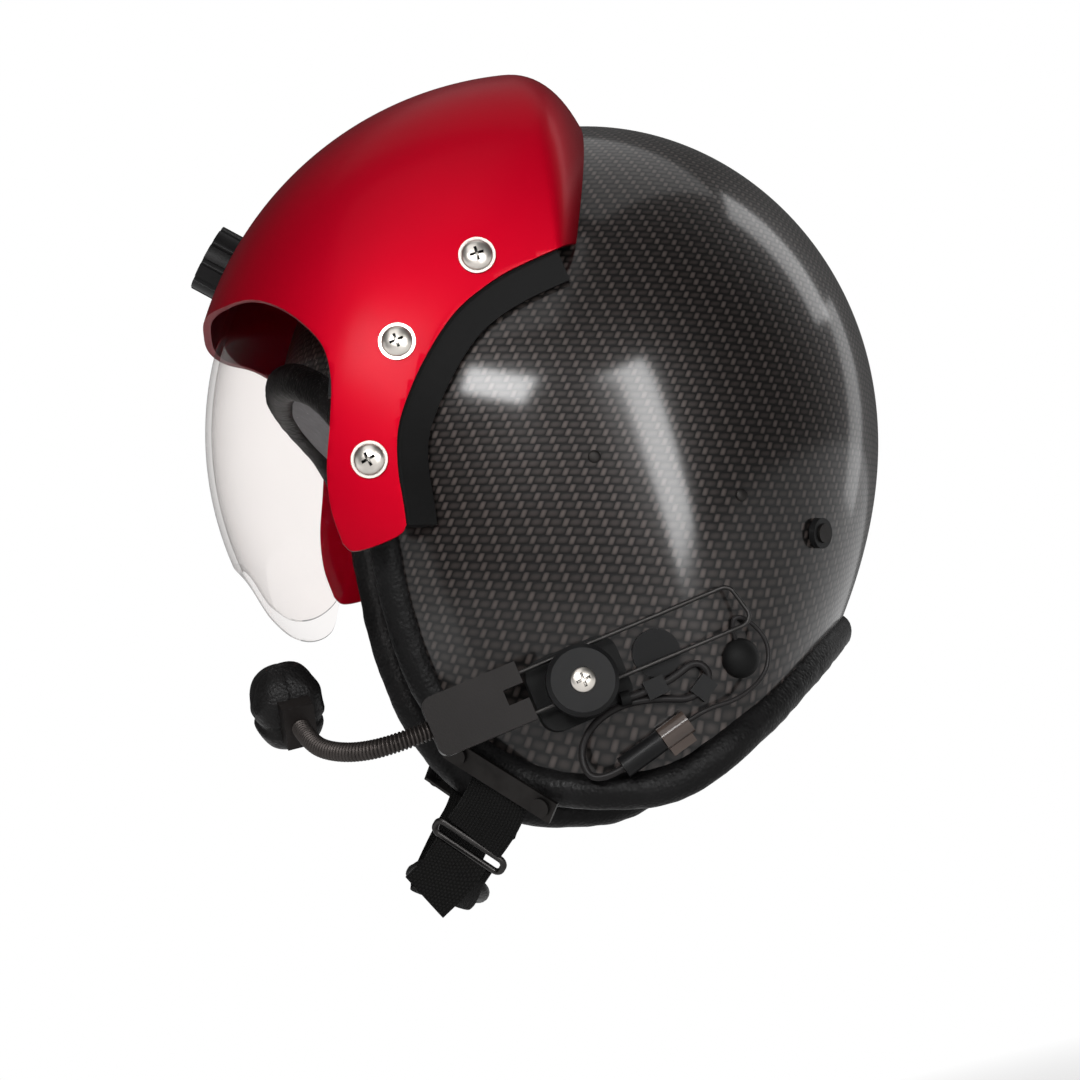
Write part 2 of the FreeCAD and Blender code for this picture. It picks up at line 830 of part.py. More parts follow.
track_outboard = size.track_inboard + size.track_thickness
track = ring_sector(
    size.track_inner, size.track_outer, size.track_inboard, track_outboard,
    size.track_start, size.track_end,
)
for lug_start, lug_end in TRACK_LUG_ANGLES:
    track = track.fuse(
        ring_sector(
            size.lug_inner, size.track_inner + size.seat_gap, size.track_inboard, track_outboard,
            lug_start, lug_end,
        )
    )
track = track.removeSplitter().cut(dome_clear)
spacer_room = []
for share in HOUSING_SCREW_SHARES:
    column = Part.makeCylinder(size.spacer_radius + size.shank_gap, WIDE / 2, V(0, 0, 0), UP * -1)
    column.Placement = seat_on(housing_x, share, LEFT)
    spacer_room.append(column)
    track = track.cut(column)
track = max(track.Solids, key=lambda solid: solid.Volume)
bind("visor_track_left", feature("visor_track_left", track))
bind("visor_track_right", feature("visor_track_right", track.mirror(V(0, 0, 0), SIDEWAYS)))

gasket = gasket_half().cut(dome_clear).cut(housing)
for column in spacer_room:
    gasket = gasket.cut(column)
track_room = ring_sector(
    size.lug_inner - size.overrun, size.track_outer, size.track_inboard - size.seat_gap,
    track_outboard + size.seat_gap, size.track_start - size.overrun, size.track_end + size.overrun,
)
gasket = gasket.cut(track_room)
gasket = max(gasket.Solids, key=lambda solid: solid.Volume)
mirrored = gasket.mirror(V(0, 0, 0), SIDEWAYS)
bind("housing_gasket", feature("housing_gasket", Part.makeCompound([gasket, mirrored])))

# The clear lens
LENS_PLACE = FreeCAD.Placement(PIVOT, FreeCAD.Rotation())
lens_outer = primitive(
    "Part::Ellipsoid", "lens_outer", LENS_PLACE,
    Radius1="sizes.lens_radius", Radius2="sizes.lens_side", Radius3="sizes.lens_radius",
)
lens_inner = primitive(
    "Part::Ellipsoid", "lens_inner", LENS_PLACE,
    Radius1="sizes.lens_radius - sizes.lens_wall",
    Radius2="sizes.lens_side - sizes.lens_wall",
    Radius3="sizes.lens_radius - sizes.lens_wall",
)
lens_bubble = cut("lens_bubble", lens_outer, lens_inner)


def lens_outline():
    """What is kept of the lens, seen from the side."""
    reach, top = size.lens_inner_reach, size.lens_top_angle
    rear = [polar(reach, angle, -WIDE) for angle in LENS_REAR_ANGLES + (top,)]
    lower = [V(-WIDE, *spot(share)) for share in LENS_LOWER_SHARES] + [rear[0]]
    far = polar(WIDE, top, -WIDE)
    corner = V(-WIDE, far.y, lower[0].z)
    edges = [
        smooth_edge(lower),
        smooth_edge(rear),
        Part.makeLine(rear[-1], far),
        Part.makeLine(far, corner),
        Part.makeLine(corner, lower[0]),
    ]
    return Part.Face(Part.Wire(edges)).extrude(SIDEWAYS * (2 * WIDE))


lens_keep = feature("lens_keep", lens_outline())
lens = common("clear_lens", lens_bubble, lens_keep)
KNOB_AXIS = (polar(WIDE, size.knob_angle) - PIVOT).normalize()
KNOB_TURN = FreeCAD.Rotation(KNOB_AXIS.cross(SIDEWAYS), SIDEWAYS, KNOB_AXIS, "ZYX")
stud_hole = primitive(
    "Part::Cylinder", "stud_hole", FreeCAD.Placement(PIVOT, KNOB_TURN),
    Radius="sizes.stud_radius + sizes.seat_gap / 2", Height="sizes.housing_radius",
)
bind("clear_visor", cut("clear_visor", lens, stud_hole))
doc.recompute()


def radial_box(width, length, low, high):
    """A block along the knob's axis, between two distances from the visor's pivot."""
    block = Part.makeBox(length, width, high - low, V(-length / 2, -width / 2, low))
    block.Placement = FreeCAD.Placement(PIVOT, KNOB_TURN)
    return block


# The lens's own parts: bracket, stud, runners and lock knob
lens_ball = Part.makeSphere(size.lens_radius + size.shank_gap)
lens_ball.Placement = LENS_PLACE
bracket = Part.makeSphere(size.lens_radius + size.bracket_wall)
bracket.Placement = LENS_PLACE
bracket = bracket.cut(lens_ball)
bracket = bracket.common(
    radial_box(size.bracket_width, size.bracket_length, size.lens_radius, size.housing_radius + size.overrun)
)
stud_drill = Part.makeCylinder(size.stud_radius + size.seat_gap / 2, size.housing_radius)
stud_drill.Placement = FreeCAD.Placement(PIVOT, KNOB_TURN)
bind("visor_bracket", feature("visor_bracket", bracket.cut(stud_drill)))

STUD_LOW = size.lens_radius - size.lens_wall - size.bracket_wall
STUD_HIGH = size.housing_radius + size.knob_lift + size.knob_height * 0.7
stud_axis = FreeCAD.Placement(PIVOT + KNOB_AXIS * STUD_LOW, KNOB_TURN)
stud = primitive(
    "Part::Cylinder", "stud_rod", stud_axis, Radius="sizes.stud_radius", Height=STUD_HIGH - STUD_LOW
)
stud_foot = primitive(
    "Part::Cylinder", "stud_foot", stud_axis,
    Radius="2 * sizes.stud_radius", Height="sizes.bracket_wall - sizes.seat_gap",
)
bind("visor_stud", fuse("visor_stud", [stud, stud_foot]))

knob_place = FreeCAD.Placement(PIVOT + KNOB_AXIS * (size.housing_radius + size.knob_lift), KNOB_TURN)
knob = new_body("visor_knob", knob_place)
knob_sketch = flat_sketch(knob, "knob_outline")
draw_circle(knob_sketch, "sizes.knob_radius")
knob_pad = pad(knob, "knob_pad", knob_sketch, "sizes.knob_height")
bore_sketch = flat_sketch(knob, "knob_bore_outline")
draw_circle(bore_sketch, "sizes.stud_radius + sizes.shank_gap")
knob_bore = pocket(knob, "knob_bore_cut", bore_sketch, "sizes.knob_height * 0.75", False)
groove_sketch = flat_sketch(knob, "knob_groove_outline")
draw_circle(groove_sketch, "sizes.groove_radius", "sizes.knob_radius + sizes.groove_radius * 0.4")
knob_groove = pocket(knob, "knob_groove", groove_sketch, "sizes.knob_height", False)
doc.recompute()
grooves = knob.newObject("PartDesign::PolarPattern", "knob_groove_ring")
grooves.Originals = [knob_groove]
grooves.Axis = (groove_sketch, ["N_Axis"])
grooves.Angle = FULL_TURN
grooves.setExpression("Occurrences", "sizes.knob_grooves")
knob.Tip = grooves
bind("visor_knob", knob)


shoe = ring_sector(
    size.shoe_inner, size.shoe_outer, size.shoe_inboard, size.shoe_inboard + size.shoe_thickness,
    size.shoe_start, size.shoe_end,
)
shoe = shoe.cut(
    ring_sector(
        size.shoe_inner - size.overrun, size.track_outer + size.seat_gap,
        size.track_inboard - size.seat_gap, track_outboard + size.seat_gap,
        size.shoe_start - size.overrun, size.shoe_end + size.overrun,
    )
)
doc.recompute()
shoe = max(shoe.cut(lens.Shape).Solids, key=lambda solid: solid.Volume)
shoes = Part.makeCompound([shoe, shoe.mirror(V(0, 0, 0), SIDEWAYS)])
bind("visor_shoes", feature("visor_shoes", shoes))

# Ear cups with their seals and speakers
for hand, side in ((LEFT, "left"), (RIGHT, "right")):
    turn = FreeCAD.Rotation(UP, V(0, -hand, 0), SIDEWAYS * hand, "ZXY")
    centre = V(hand * size.cup_rim, size.ear_back, size.ear_rise)
    outer = primitive(
        "Part::Ellipsoid", f"cup_outer_{side}", FreeCAD.Placement(centre, turn),
        Radius1="sizes.cup_depth", Radius2="sizes.cup_height", Radius3="sizes.cup_width",
        Angle1=0.0, Angle2=90.0,
    )
    inner = primitive(
        "Part::Ellipsoid", f"cup_inner_{side}", FreeCAD.Placement(centre, turn),
        Radius1="sizes.cup_depth - sizes.cup_wall",
        Radius2="sizes.cup_height - sizes.cup_wall",
        Radius3="sizes.cup_width - sizes.cup_wall",
        Angle1=0.0, Angle2=90.0,
    )
    bind(f"ear_cup_{side}", cut(f"ear_cup_{side}", outer, inner))
    mid_height = size.cup_height - size.seal_radius
    mid_width = size.cup_width - size.seal_radius
    seal_out = hand * (size.cup_rim - size.seal_radius - size.seal_gap)
    path = Part.Ellipse(V(0, 0, 0), mid_height, mid_width).toShape()
    profile = Part.Wire([Part.Circle(V(mid_height, 0, 0), V(0, 1, 0), size.seal_radius).toShape()])
    seal = Part.Wire([path]).makePipeShell([profile], True, True)
    seal.Placement = FreeCAD.Placement(V(seal_out, size.ear_back, size.ear_rise), turn)
    bind(f"ear_seal_{side}", feature(f"ear_seal_{side}", seal))
    wall_room = size.cup_wall + 2 * size.shank_gap
    plate_edge = Part.Ellipse(V(0, 0, 0), size.cup_height - wall_room, size.cup_width - wall_room)
    plate = Part.Face(Part.Wire([plate_edge.toShape()])).extrude(UP * (size.cup_wall / 2))
    capsule = Part.makeCylinder(size.speaker_radius, size.speaker_thickness)
    speaker = plate.fuse(capsule)
    speaker.Placement = FreeCAD.Placement(centre + SIDEWAYS * (hand * size.seat_gap), turn)
    bind(f"ear_speaker_{side}", feature(f"ear_speaker_{side}", speaker))

# Round fixings on the shell's sides
def on_both_sides(node, share, sizes_list):
    """A node of stacked discs on the shell, one stack on each side."""
    members = []
    for hand, side in ((LEFT, "left"), (RIGHT, "right")):
        place = seat_on(shell_x, share, hand, size.seat_gap)
        for number, (radius, height) in enumerate(sizes_list):
            members.append(
                primitive("Part::Cylinder", f"{node}_{side}_{number}", place, Radius=radius, Height=height)
            )
    return members


EAR_DISC = ("sizes.ear_disc_radius", "sizes.ear_disc_thickness")
ear_discs = on_both_sides("ear_disc", EAR_SCREW_SHARE, [EAR_DISC])
bind("ear_cup_screws", fuse("ear_cup_screws", ear_discs))
cup_bores, cup_blanks, nape_screws = [], [], []
for hand, side in ((LEFT, "left"), (RIGHT, "right")):
    place = seat_on(shell_x, NAPE_SCREW_SHARE, hand, size.seat_gap)
    blank = primitive(
        "Part::Cylinder", f"nape_cup_{side}", place,
        Radius="sizes.nape_cup_radius", Height="sizes.nape_cup_height",
    )
    bore = primitive(
        "Part::Cylinder", f"nape_cup_bore_{side}", place,
        Radius="sizes.nape_screw_radius + sizes.seat_gap / 2", Height="2 * sizes.nape_cup_height",
    )
    cup_blanks.append(cut(f"nape_cup_ring_{side}", blank, bore))
    nape_screws.append(
        primitive(
            "Part::Cylinder", f"nape_screw_{side}", place,
            Radius="sizes.nape_screw_radius", Height="sizes.nape_screw_height",
        )
    )
bind("nape_screw_cups", fuse("nape_screw_cups", cup_blanks))
bind("nape_screws", fuse("nape_screws", nape_screws))
rivets = []
for number, share in enumerate(RIVET_SHARES):
    for hand, side in ((LEFT, "left"), (RIGHT, "right")):
        place = seat_on(shell_x, share, hand, size.seat_gap)
        rivets.append(
            primitive(
                "Part::Ellipsoid", f"rivet_{side}_{number}", place,
                Radius1="sizes.rivet_height", Radius2="sizes.rivet_radius", Radius3="sizes.rivet_radius",
                Angle1=0.0, Angle2=90.0,
            )
        )
bind("liner_rivets", fuse("liner_rivets", rivets))

# The microphone boom: its own X runs back along the boom and its own Z points out of the helmet
lean = math.radians(size.boom_angle)
BOOM_TURN = FreeCAD.Rotation(
    V(0, math.cos(lean), math.sin(lean)), V(0, -math.sin(lean), math.cos(lean)), SIDEWAYS, "ZXY"
)


def boom_place(along=0.0, across=0.0, out=0.0):
    """A placement in the boom's own directions, from the clamp's centre on the shell side."""
    centre = V(size.base_outboard, size.boom_back, size.boom_rise)
    return FreeCAD.Placement(centre + BOOM_TURN.multVec(V(along, across, out)), BOOM_TURN)


LEAD_START = (118.0, -25.4, -69.0)
base_blank = Part.makeBox(
    size.base_width, size.base_height, size.base_outboard - size.base_inboard,
    V(-size.base_width / 2, -size.base_height / 2, size.base_inboard - size.base_outboard),
)
base_blank = base_blank.makeFillet(
    size.base_height / 4,
    [edge for edge in base_blank.Edges if abs(edge.tangentAt(edge.FirstParameter).z) > 0.9],
)
base_blank.Placement = boom_place()
gland = Part.makeCylinder(size.gland_radius, size.gland_length, V(0, 0, 0), V(0, -1, 0))
gland.translate(V(*LEAD_START))
bind("boom_base", feature("boom_base", base_blank.fuse(gland).cut(dome_clear)))

clamp = new_body("clamp_block", boom_place(out=size.clamp_gap))
clamp_sketch = flat_sketch(clamp, "clamp_outline")
draw_circle(clamp_sketch, "sizes.clamp_radius")
pad(clamp, "clamp_pad", clamp_sketch, "sizes.clamp_height")
clamp_bore_sketch = flat_sketch(clamp, "clamp_bore_outline")
draw_circle(clamp_bore_sketch, "sizes.clamp_shank_radius + sizes.shank_gap")
pocket(clamp, "clamp_bore", clamp_bore_sketch, "sizes.clamp_height", False)
for sign, word in ((1, "high"), (-1, "low")):
    slot_sketch = clamp.newObject("Sketcher::SketchObject", f"wire_slot_{word}_outline")
    slot_sketch.AttachmentSupport = (role_plane(clamp, "YZ_Plane"), [""])
    slot_sketch.MapMode = "FlatFace"
    draw_circle(
        slot_sketch,
        "sizes.wire_radius + sizes.wire_gap",
        f"{sign} * sizes.wire_spacing / 2 + sizes.wire_shift",
        "sizes.wire_level - sizes.clamp_gap",
    )
    slot_sketch.setExpression("AttachmentOffset.Base.z", "sizes.clamp_radius + sizes.overrun")
    cutter = clamp.newObject("PartDesign::Pocket", f"wire_slot_{word}")
    cutter.Profile = slot_sketch
    cutter.setExpression("Length", "2 * sizes.clamp_radius + 2 * sizes.overrun")
doc.recompute()
bind("clamp_block", clamp)

clamp_top = size.clamp_gap * 2 + size.clamp_height
disc_low = primitive(
    "Part::Cylinder", "disc_low", boom_place(out=clamp_top),
    Radius="sizes.knob_disc_radius", Height="sizes.knob_disc_height - sizes.knob_disc_bevel",
)
disc_high = primitive(
    "Part::Cone", "disc_high", boom_place(out=clamp_top + size.knob_disc_height - size.knob_disc_bevel),
    Radius1="sizes.knob_disc_radius", Radius2="sizes.knob_disc_radius - sizes.knob_disc_bevel",
    Height="sizes.knob_disc_bevel",
)
disc_bore = primitive(
    "Part::Cylinder", "disc_bore", boom_place(out=clamp_top),
    Radius="sizes.clamp_shank_radius + sizes.shank_gap", Height="sizes.knob_disc_height",
)
bind("clamp_knob", cut("clamp_knob", fuse("disc_blank", [disc_low, disc_high]), disc_bore))

screw_seat = boom_place(out=clamp_top + size.knob_disc_height + size.seat_gap)
bind(
    "clamp_screw",
    truss_screw(
        "clamp_screw", screw_seat, "sizes.clamp_screw_radius", "sizes.clamp_screw_height",
        "sizes.clamp_shank_radius",
        "sizes.knob_disc_height + sizes.clamp_height + 2 * sizes.clamp_gap",
    ),
)


def tube(points, radius, radii=None):
    """A round tube along straight runs joined by tangent arcs. Returns it and its arcs' radii."""
    edges, made_radii, start = [], [], points[0]
    for i in range(1, len(points) - 1):
        before, here, after = points[i - 1], points[i], points[i + 1]
        back_way, ahead = (before - here), (after - here)
        shorter = min(back_way.Length, ahead.Length)
        back_way.normalize()
        ahead.normalize()
        half_turn = (math.pi - back_way.getAngle(ahead)) / 2
        cut_back = 0.45 * shorter
        arc_radius = cut_back / math.tan(half_turn)
        if radii and arc_radius > radii[i - 1]:
            arc_radius = radii[i - 1]
            cut_back = arc_radius * math.tan(half_turn)
        entry, leave = here + back_way * cut_back, here + ahead * cut_back
        inner = (back_way + ahead).normalize()
        centre = here + inner * (arc_radius / math.cos(half_turn))
        middle = centre - inner * arc_radius
        edges += [Part.LineSegment(start, entry).toShape(), Part.Arc(entry, middle, leave).toShape()]
        made_radii.append(round(arc_radius, 1))
        start = leave
    edges.append(Part.LineSegment(start, points[-1]).toShape())
    wire = Part.Wire(edges)
    along = (points[1] - points[0]).normalize()
    profile = Part.Wire([Part.Circle(points[0], along, radius).toShape()])
    solid = wire.makePipeShell([profile], True, False)
    return solid, wire.Length, made_radii


def report_tube(name, solid, length, radius, radii):
    """Prints how a tube's volume compares with its section times its length."""
    expected = math.pi * radius * radius * length
    print(f"{name}: length {length:.1f}, radii {radii}, volume share {solid.Volume / expected:.4f}")


spread = size.wire_spacing / 2
loop_points = [
    V(size.wire_front, spread, size.wire_level),
    V(size.wire_rear - size.wire_bend, spread, size.wire_level),
    V(size.wire_rear, -spread, size.wire_level),
    V(size.wire_front, -spread, size.wire_level),
]
loop_bends = [size.wire_bend, size.wire_bend]
wire_solid, wire_length, wire_radii = tube(loop_points, size.wire_radius, loop_bends)
wire_solid.Placement = boom_place(across=size.wire_shift)
report_tube("boom_wire", wire_solid, wire_length, size.wire_radius, wire_radii)
bind("boom_wire", feature("boom_wire", wire_solid))

slab_low = size.wire_level - size.slab_thickness / 2
slab = new_body("boom_slab", boom_place(size.slab_rear - size.slab_length, size.slab_shift, slab_low))
slab_sketch = flat_sketch(slab, "slab_outline")
draw_rectangle(slab_sketch, "0 mm", "-sizes.slab_height / 2", "sizes.slab_length", "sizes.slab_height")
slab_pad = pad(slab, "slab_pad", slab_sketch, "sizes.slab_thickness")
doc.recompute()
slab_edges = [
    f"Edge{i + 1}"
    for i, edge in enumerate(slab_pad.Shape.Edges)
    if abs(edge.tangentAt(edge.FirstParameter).z) > 0.9 and edge.BoundBox.XMax < size.overrun
]
slab_round = slab.newObject("PartDesign::Fillet", "slab_corners")
slab_round.Base = (slab_pad, slab_edges)
slab_round.setExpression("Radius", "sizes.slab_corner")
notch_sketch = flat_sketch(slab, "slab_notch_outline")
draw_rectangle(
    notch_sketch, "sizes.slab_length - sizes.slab_notch_length", "-sizes.slab_notch_width / 2",
    "sizes.slab_notch_length + sizes.overrun", "sizes.slab_notch_width",
)
pocket(slab, "slab_notch", notch_sketch, "sizes.slab_thickness", False)
for sign, word in ((1, "high"), (-1, "low")):
    sleeve_sketch = slab.newObject("Sketcher::SketchObject", f"wire_hole_{word}_outline")
    sleeve_sketch.AttachmentSupport = (role_plane(slab, "YZ_Plane"), [""])
    sleeve_sketch.MapMode = "FlatFace"
    sleeve_sketch.setExpression("AttachmentOffset.Base.z", "sizes.slab_length + sizes.overrun")
    draw_circle(
        sleeve_sketch, "sizes.wire_radius",
        f"{sign} * sizes.wire_spacing / 2 + sizes.wire_shift - sizes.slab_shift",
        "sizes.slab_thickness / 2",
    )
    hole = slab.newObject("PartDesign::Pocket", f"wire_hole_{word}")
    hole.Profile = sleeve_sketch
    hole.setExpression("Length", "sizes.slab_rear - sizes.wire_front + 2 * sizes.overrun")
doc.recompute()
bind("boom_slab", slab)

# Hand-placed routes in millimetres: the flexible boom arm, the leads and their ends
GOOSENECK_ROUTE = (
    (120.5, -100.2, -62.0), (120.5, -113.1, -63.8), (112.0, -128.0, -63.0),
    (99.5, -139.0, -58.5), (90.0, -143.5, -52.5), (81.0, -145.0, -46.8),
)
MIC_LEAD_ROUTE = (
    LEAD_START, (118.2, -21.5, -69.0), (118.7, -9.0, -66.8), (119.0, 2.0, -61.5),
    (118.4, 6.5, -69.0), (117.8, -2.5, -76.0), (117.6, -15.0, -72.0), (116.2, -29.4, -70.5),
    (113.6, -42.5, -75.5), (112.6, -49.0, -85.5), (115.2, -46.0, -97.0), (116.5, -34.4, -93.5),
)
EAR_LEAD_ROUTE = (
    (118.2, -6.8, -83.0), (118.6, 0.5, -80.2), (117.2, 14.0, -80.0), (114.4, 27.0, -73.5),
    (113.8, 31.0, -61.5), (114.6, 24.5, -50.5), (115.2, 18.6, -50.0), (113.4, 18.8, -58.0),
)

CLIP_RUNS = (0, 3, 5)


def route(points):
    """A list of points as vectors."""
    return [V(*point) for point in points]


def fixed_tube(name, points, radius):
    """A tube along a hand-placed route, reported and bound as a node."""
    solid, length, radii = tube(route(points), radius)
    report_tube(name, solid, length, radius, radii)
    return bind(name, feature(name, solid))


fixed_tube("gooseneck", GOOSENECK_ROUTE, size.gooseneck_radius)
fixed_tube("mic_lead", MIC_LEAD_ROUTE, size.lead_radius)
fixed_tube("ear_lead", EAR_LEAD_ROUTE, size.thin_lead_radius)


# Microphone head at the end of the arm
tip, before_tip = GOOSENECK_ROUTE[-1], GOOSENECK_ROUTE[-2]
MIC_AXIS = (V(*tip) - V(*before_tip)).normalize()
MIC_TURN = FreeCAD.Rotation(UP.cross(MIC_AXIS), MIC_AXIS.cross(UP.cross(MIC_AXIS)), MIC_AXIS, "ZXY")
mic_frame = FreeCAD.Placement(V(*tip), MIC_TURN)
yoke_corner = V(-size.yoke_depth / 2, -size.yoke_width / 2, size.shank_gap)
yoke = primitive(
    "Part::Box", "mic_yoke", mic_frame.multiply(FreeCAD.Placement(yoke_corner, FreeCAD.Rotation())),
    Length="sizes.yoke_depth", Width="sizes.yoke_width", Height="sizes.yoke_length",
)
bind("mic_yoke", yoke)


def muff_solid():
    """The faceted foam cover over the microphone, a little pinched at its waist."""
    wires = []
    for lift_share, swell in MUFF_SHARES:
        points = []
        for i in range(16):
            angle = math.radians(FULL_TURN * i / 16)
            across, deep = math.cos(angle), math.sin(angle)
            radius = (abs(across) ** 3 + abs(deep) ** 3) ** (-1 / 3)
            points.append(
                V(
                    radius * across * size.muff_width / 2 * swell,
                    radius * deep * size.muff_depth / 2 * swell,
                    lift_share * size.muff_height,
                )
            )
        wires.append(ring_wire(points))
    return loft(wires)


muff = muff_solid()
muff_lift = size.yoke_length + size.muff_depth / 2 - size.yoke_fork
upright = FreeCAD.Rotation(SIDEWAYS, UP, V(0, -1, 0), "XYZ")
muff.Placement = mic_frame.multiply(FreeCAD.Placement(V(0, 0, muff_lift), upright))
yoke_room = Part.makeBox(
    size.yoke_depth + 2 * size.seat_gap, size.yoke_width + 2 * size.seat_gap, size.yoke_length + size.seat_gap
)
yoke_room.Placement = mic_frame.multiply(
    FreeCAD.Placement(yoke_corner - V(size.seat_gap, size.seat_gap, 0), FreeCAD.Rotation())
)
bind("mic_muff", feature("mic_muff", muff.cut(yoke_room)))

# Plug, jack, clips and the rubber boot on the shell's side
plug_start, jack_end = V(*MIC_LEAD_ROUTE[-1]), V(*EAR_LEAD_ROUTE[0])
plug_axis = (jack_end - plug_start).normalize()
plug_turn = FreeCAD.Rotation(UP, plug_axis)
total = (jack_end - plug_start).Length
plug_share = size.plug_length / (size.plug_length + size.jack_length)
split = total * plug_share
plug = primitive(
    "Part::Cylinder", "plug_barrel", FreeCAD.Placement(plug_start, plug_turn),
    Radius="sizes.plug_radius", Height=split - size.seat_gap,
)
bind("mic_plug", plug)
jack = primitive(
    "Part::Cylinder", "jack_barrel", FreeCAD.Placement(plug_start + plug_axis * split, plug_turn),
    Radius="sizes.jack_radius", Height=total - split,
)
latch_turn = FreeCAD.Rotation(plug_axis, SIDEWAYS.cross(plug_axis).normalize(), SIDEWAYS, "XZY")
latch_low = plug_start + plug_axis * (split + size.seat_gap) - latch_turn.multVec(
    V(0, size.jack_radius + size.latch_width - size.overrun / 2, size.latch_thickness / 2)
)
latch = primitive(
    "Part::Box", "jack_latch", FreeCAD.Placement(latch_low, latch_turn),
    Length="sizes.latch_length", Width="sizes.latch_width + sizes.overrun", Height="sizes.latch_thickness",
)
bind("mic_jack", fuse("mic_jack", [jack, latch]))

boot = primitive(
    "Part::Ellipsoid", "cable_boot", seat_on(shell_x, BOOT_SHARE, LEFT, size.seat_gap),
    Radius1="sizes.boot_height", Radius2="sizes.boot_radius", Radius3="sizes.boot_radius",
    Angle1=0.0, Angle2=90.0,
)
bind("cable_boot", boot)


disc_room = Part.makeCylinder(
    size.ear_disc_radius + size.seat_gap, size.ear_disc_thickness + 2 * size.seat_gap
)
disc_room.Placement = seat_on(shell_x, EAR_SCREW_SHARE, LEFT)


def clip_at(name, number):
    """A clip seated on the shell that holds one run of the lead and leaves its other runs free."""
    first, second = V(*MIC_LEAD_ROUTE[number]), V(*MIC_LEAD_ROUTE[number + 1])
    ahead = (second - first).normalize()
    outward = (SIDEWAYS - ahead * ahead.x).normalize()
    turn = FreeCAD.Rotation(ahead, outward.cross(ahead), outward, "XZY")
    corner = V(-size.clip_length / 2, -size.clip_width / 2, -2 * size.clip_height)
    block = Part.makeBox(size.clip_length, size.clip_width, 3 * size.clip_height)
    place = FreeCAD.Placement((first + second) / 2, turn)
    block.Placement = place.multiply(FreeCAD.Placement(corner, FreeCAD.Rotation()))
    block = block.cut(dome_clear).cut(disc_room)
    for start in CLIP_RUNS:
        run = tube(route(MIC_LEAD_ROUTE[start:start + 4]), size.lead_radius + size.seat_gap)[0]
        block = block.cut(run)
    return feature(name, max(block.Solids, key=lambda solid: solid.Volume))


front_clip = clip_at("clip_front", 1)
rear_clip = clip_at("clip_rear", 4)
bind("cable_clips", fuse("cable_clips", [front_clip, rear_clip]))


# Chin harness
def anchor_place(hand, lift=0.0):
    """A placement on the lower cheek of the shell, its X running down and back."""
    base = seat_on(shell_x, ANCHOR_SHARE, hand, lift)
    outward = base.Rotation.multVec(UP)
    tilt = math.radians(size.anchor_tilt)
    down_back = V(0, math.cos(tilt), -math.sin(tilt))
    down_back = (down_back - outward * down_back.dot(outward)).normalize()
    across = outward.cross(down_back)
    return FreeCAD.Placement(base.Base, FreeCAD.Rotation(down_back, across, outward, "ZXY"))


over_roll = size.roll_radius - size.shell_wall / 2 + size.web_thickness + 2 * size.seat_gap
anchor_screws = []
for hand, side in ((LEFT, "left"), (RIGHT, "right")):
    plate = new_body(f"anchor_plate_{side}", anchor_place(hand, over_roll))
    plate_sketch = flat_sketch(plate, f"anchor_outline_{side}")
    draw_rectangle(
        plate_sketch, "-sizes.anchor_length / 2", "-sizes.anchor_width / 2",
        "sizes.anchor_length", "sizes.anchor_width",
    )
    pad(plate, f"anchor_pad_{side}", plate_sketch, "sizes.anchor_thickness")
    hole_sketch = flat_sketch(plate, f"anchor_holes_{side}")
    draw_circle(hole_sketch, "sizes.anchor_hole", "sizes.anchor_spacing / 2")
    draw_circle(hole_sketch, "sizes.anchor_hole", "-sizes.anchor_spacing / 2")
    pocket(plate, f"anchor_drill_{side}", hole_sketch, "sizes.anchor_thickness", False)
    doc.recompute()
    bind(f"anchor_plate_{side}", plate)
    for sign, word in ((1, "rear"), (-1, "front")):
        top = anchor_place(hand, over_roll + size.anchor_thickness)
        place = top.multiply(FreeCAD.Placement(V(sign * size.anchor_spacing / 2, 0, 0), FreeCAD.Rotation()))
        head = primitive(
            "Part::Cylinder", f"anchor_head_{side}_{word}", place,
            Radius="sizes.anchor_screw_radius", Height="sizes.anchor_screw_height",
        )
        inward = place.multiply(FreeCAD.Placement(V(0, 0, 0), FreeCAD.Rotation(SIDEWAYS, 180)))
        shank = primitive(
            "Part::Cylinder", f"anchor_shank_{side}_{word}", inward,
            Radius="sizes.anchor_hole - sizes.seat_gap / 2",
            Height="sizes.anchor_thickness + 2 * sizes.seat_gap",
        )
        anchor_screws.append(fuse(f"anchor_screw_{side}_{word}", [head, shank]))
bind("anchor_screws", fuse("anchor_screws", anchor_screws))

# Straps: centre points and the direction of their width, hand placed in millimetres
WEB_SIDE = (0.57, 0.74, -0.50)
LEFT_WEB_ROUTE = (
    (97.9, -77.6, -85.9), (95.6, -79.3, -89.4), (90.0, -83.0, -94.8), (82.0, -88.0, -100.0),
    (76.5, -92.0, -103.5),
)
UNDER_WEB_ROUTE = (
    (68.5, -97.0, -109.0), (60.0, -101.0, -113.0), (42.0, -104.0, -118.0), (20.0, -106.0, -121.5),
    (0.0, -107.0, -122.5), (-20.0, -106.0, -121.5), (-42.0, -104.0, -118.0), (-60.0, -99.0, -112.0),
    (-74.0, -92.5, -104.7), (-82.0, -88.0, -100.0), (-90.0, -83.0, -94.8), (-95.6, -79.3, -89.4),
    (-97.9, -77.6, -85.9),
)
TAIL_ROUTE = (
    (74.3, -98.0, -108.6), (74.2, -101.5, -111.8), (73.6, -106.5, -115.2), (72.6, -116.0, -120.5),
)
PAD_LIFT = (0.0, 3.4, 4.4)


def web_across(point, ahead):
    """The direction of a strap's width at a point: it leans the same way on both sides."""
    across = V(WEB_SIDE[0] * point.x / size.shell_side, WEB_SIDE[1], WEB_SIDE[2])
    return (across - ahead * (across.dot(ahead) / ahead.dot(ahead))).normalize()


